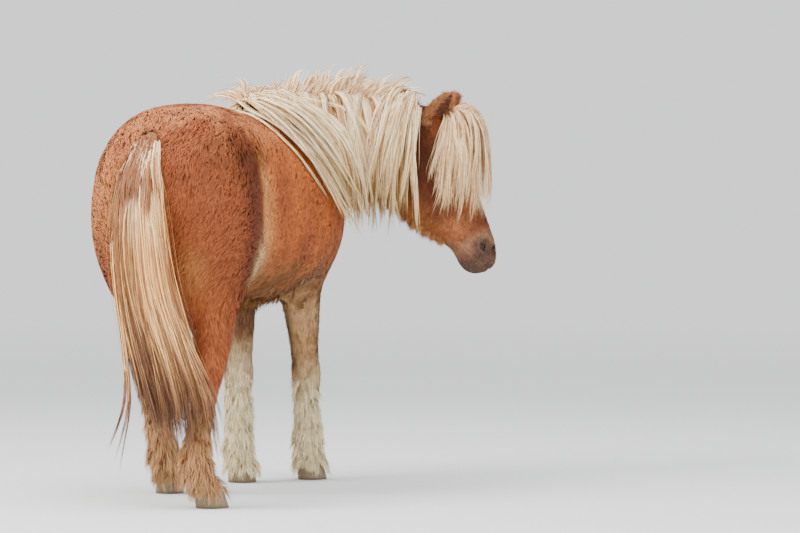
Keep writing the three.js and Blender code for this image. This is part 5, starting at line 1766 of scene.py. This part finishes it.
def build_floor():
    mesh = bpy.data.meshes.new("floor")
    work = bmesh.new()
    bmesh.ops.create_circle(work, cap_ends=True, cap_tris=True, segments=96, radius=FLOOR_RADIUS)
    work.to_mesh(mesh)
    work.free()
    floor = bpy.data.objects.new("floor", mesh)
    floor.location = (0, 0, -0.0005)
    bpy.context.scene.collection.objects.link(floor)
    made = bpy.data.materials.new("pale_floor")
    made.use_nodes = True
    nodes, links = made.node_tree.nodes, made.node_tree.links
    shader = nodes["Principled BSDF"]
    fill(shader, {"Base Color": (0.62, 0.63, 0.63, 1), "Roughness": 0.9, "Specular IOR Level": 0.1})
    place = nodes.new("ShaderNodeTexCoord")
    length = nodes.new("ShaderNodeVectorMath")
    length.operation = "LENGTH"
    links.new(place.outputs["Object"], length.inputs[0])
    fade = nodes.new("ShaderNodeMapRange")
    fade.interpolation_type = "SMOOTHSTEP"
    fill(fade, {"From Min": FADE_START, "From Max": FADE_END})
    links.new(length.outputs["Value"], fade.inputs["Value"])
    glow = nodes.new("ShaderNodeEmission")
    fill(glow, {"Color": (*BACKDROP, 1), "Strength": BACKDROP_GLOW})
    blend = nodes.new("ShaderNodeMixShader")
    links.new(fade.outputs["Result"], blend.inputs["Fac"])
    links.new(shader.outputs["BSDF"], blend.inputs[1])
    links.new(glow.outputs["Emission"], blend.inputs[2])
    links.new(blend.outputs["Shader"], nodes["Material Output"].inputs["Surface"])
    mesh.materials.append(made)
    floor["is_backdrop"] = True


def aim(thing, target):
    way = Vector(target) - thing.location
    thing.rotation_mode = "QUATERNION"
    thing.rotation_quaternion = way.to_track_quat("-Z", "Y")


def soft_light(name, place, target, size, power, colour=(1, 1, 1)):
    data = bpy.data.lights.new(name, "AREA")
    data.size = size
    data.energy = power
    data.color = colour
    lamp = bpy.data.objects.new(name, data)
    lamp.location = place
    aim(lamp, target)
    bpy.context.scene.collection.objects.link(lamp)


build_floor()
world = bpy.data.worlds.new("studio")
world.use_nodes = True
fill(world.node_tree.nodes["Background"], {"Color": (*BACKDROP, 1), "Strength": BACKDROP_GLOW})
bpy.context.scene.world = world
soft_light("key", (-2.4, 2.2, 3.2), (0, 0, 0.7), 2.4, 330, (1.0, 0.97, 0.93))
soft_light("sky", (0.2, -0.2, 4.4), (0, 0, 0.7), 4.0, 220, (0.98, 0.99, 1.0))
soft_light("fill", (-3.0, -3.4, 1.8), (0, 0, 0.5), 3.0, 170)

# Camera: behind and to the right, at eye height, far off
CAMERA_PLACE = np.array([-14767.0, -6035.0, 1270.0])
VIEW_TURN = math.radians(20)
FOCAL_PIXELS = 6320.0
HORIZON_RISE = 266.5
PITCH = math.atan(HORIZON_RISE / FOCAL_PIXELS)
IMAGE_WIDTH = 800
SENSOR = 36
camera_data = bpy.data.cameras.new("camera")
camera_data.sensor_width = SENSOR
camera_data.lens = SENSOR * FOCAL_PIXELS / IMAGE_WIDTH
camera_data.clip_end = 300
camera = bpy.data.objects.new("camera", camera_data)
camera.location = Vector(placed(CAMERA_PLACE))
level = math.cos(PITCH)
look = Vector((math.cos(VIEW_TURN) * level, math.sin(VIEW_TURN) * level, -math.sin(PITCH)))
aim(camera, camera.location + look)
bpy.context.scene.collection.objects.link(camera)
bpy.context.scene.camera = camera

low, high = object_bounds()
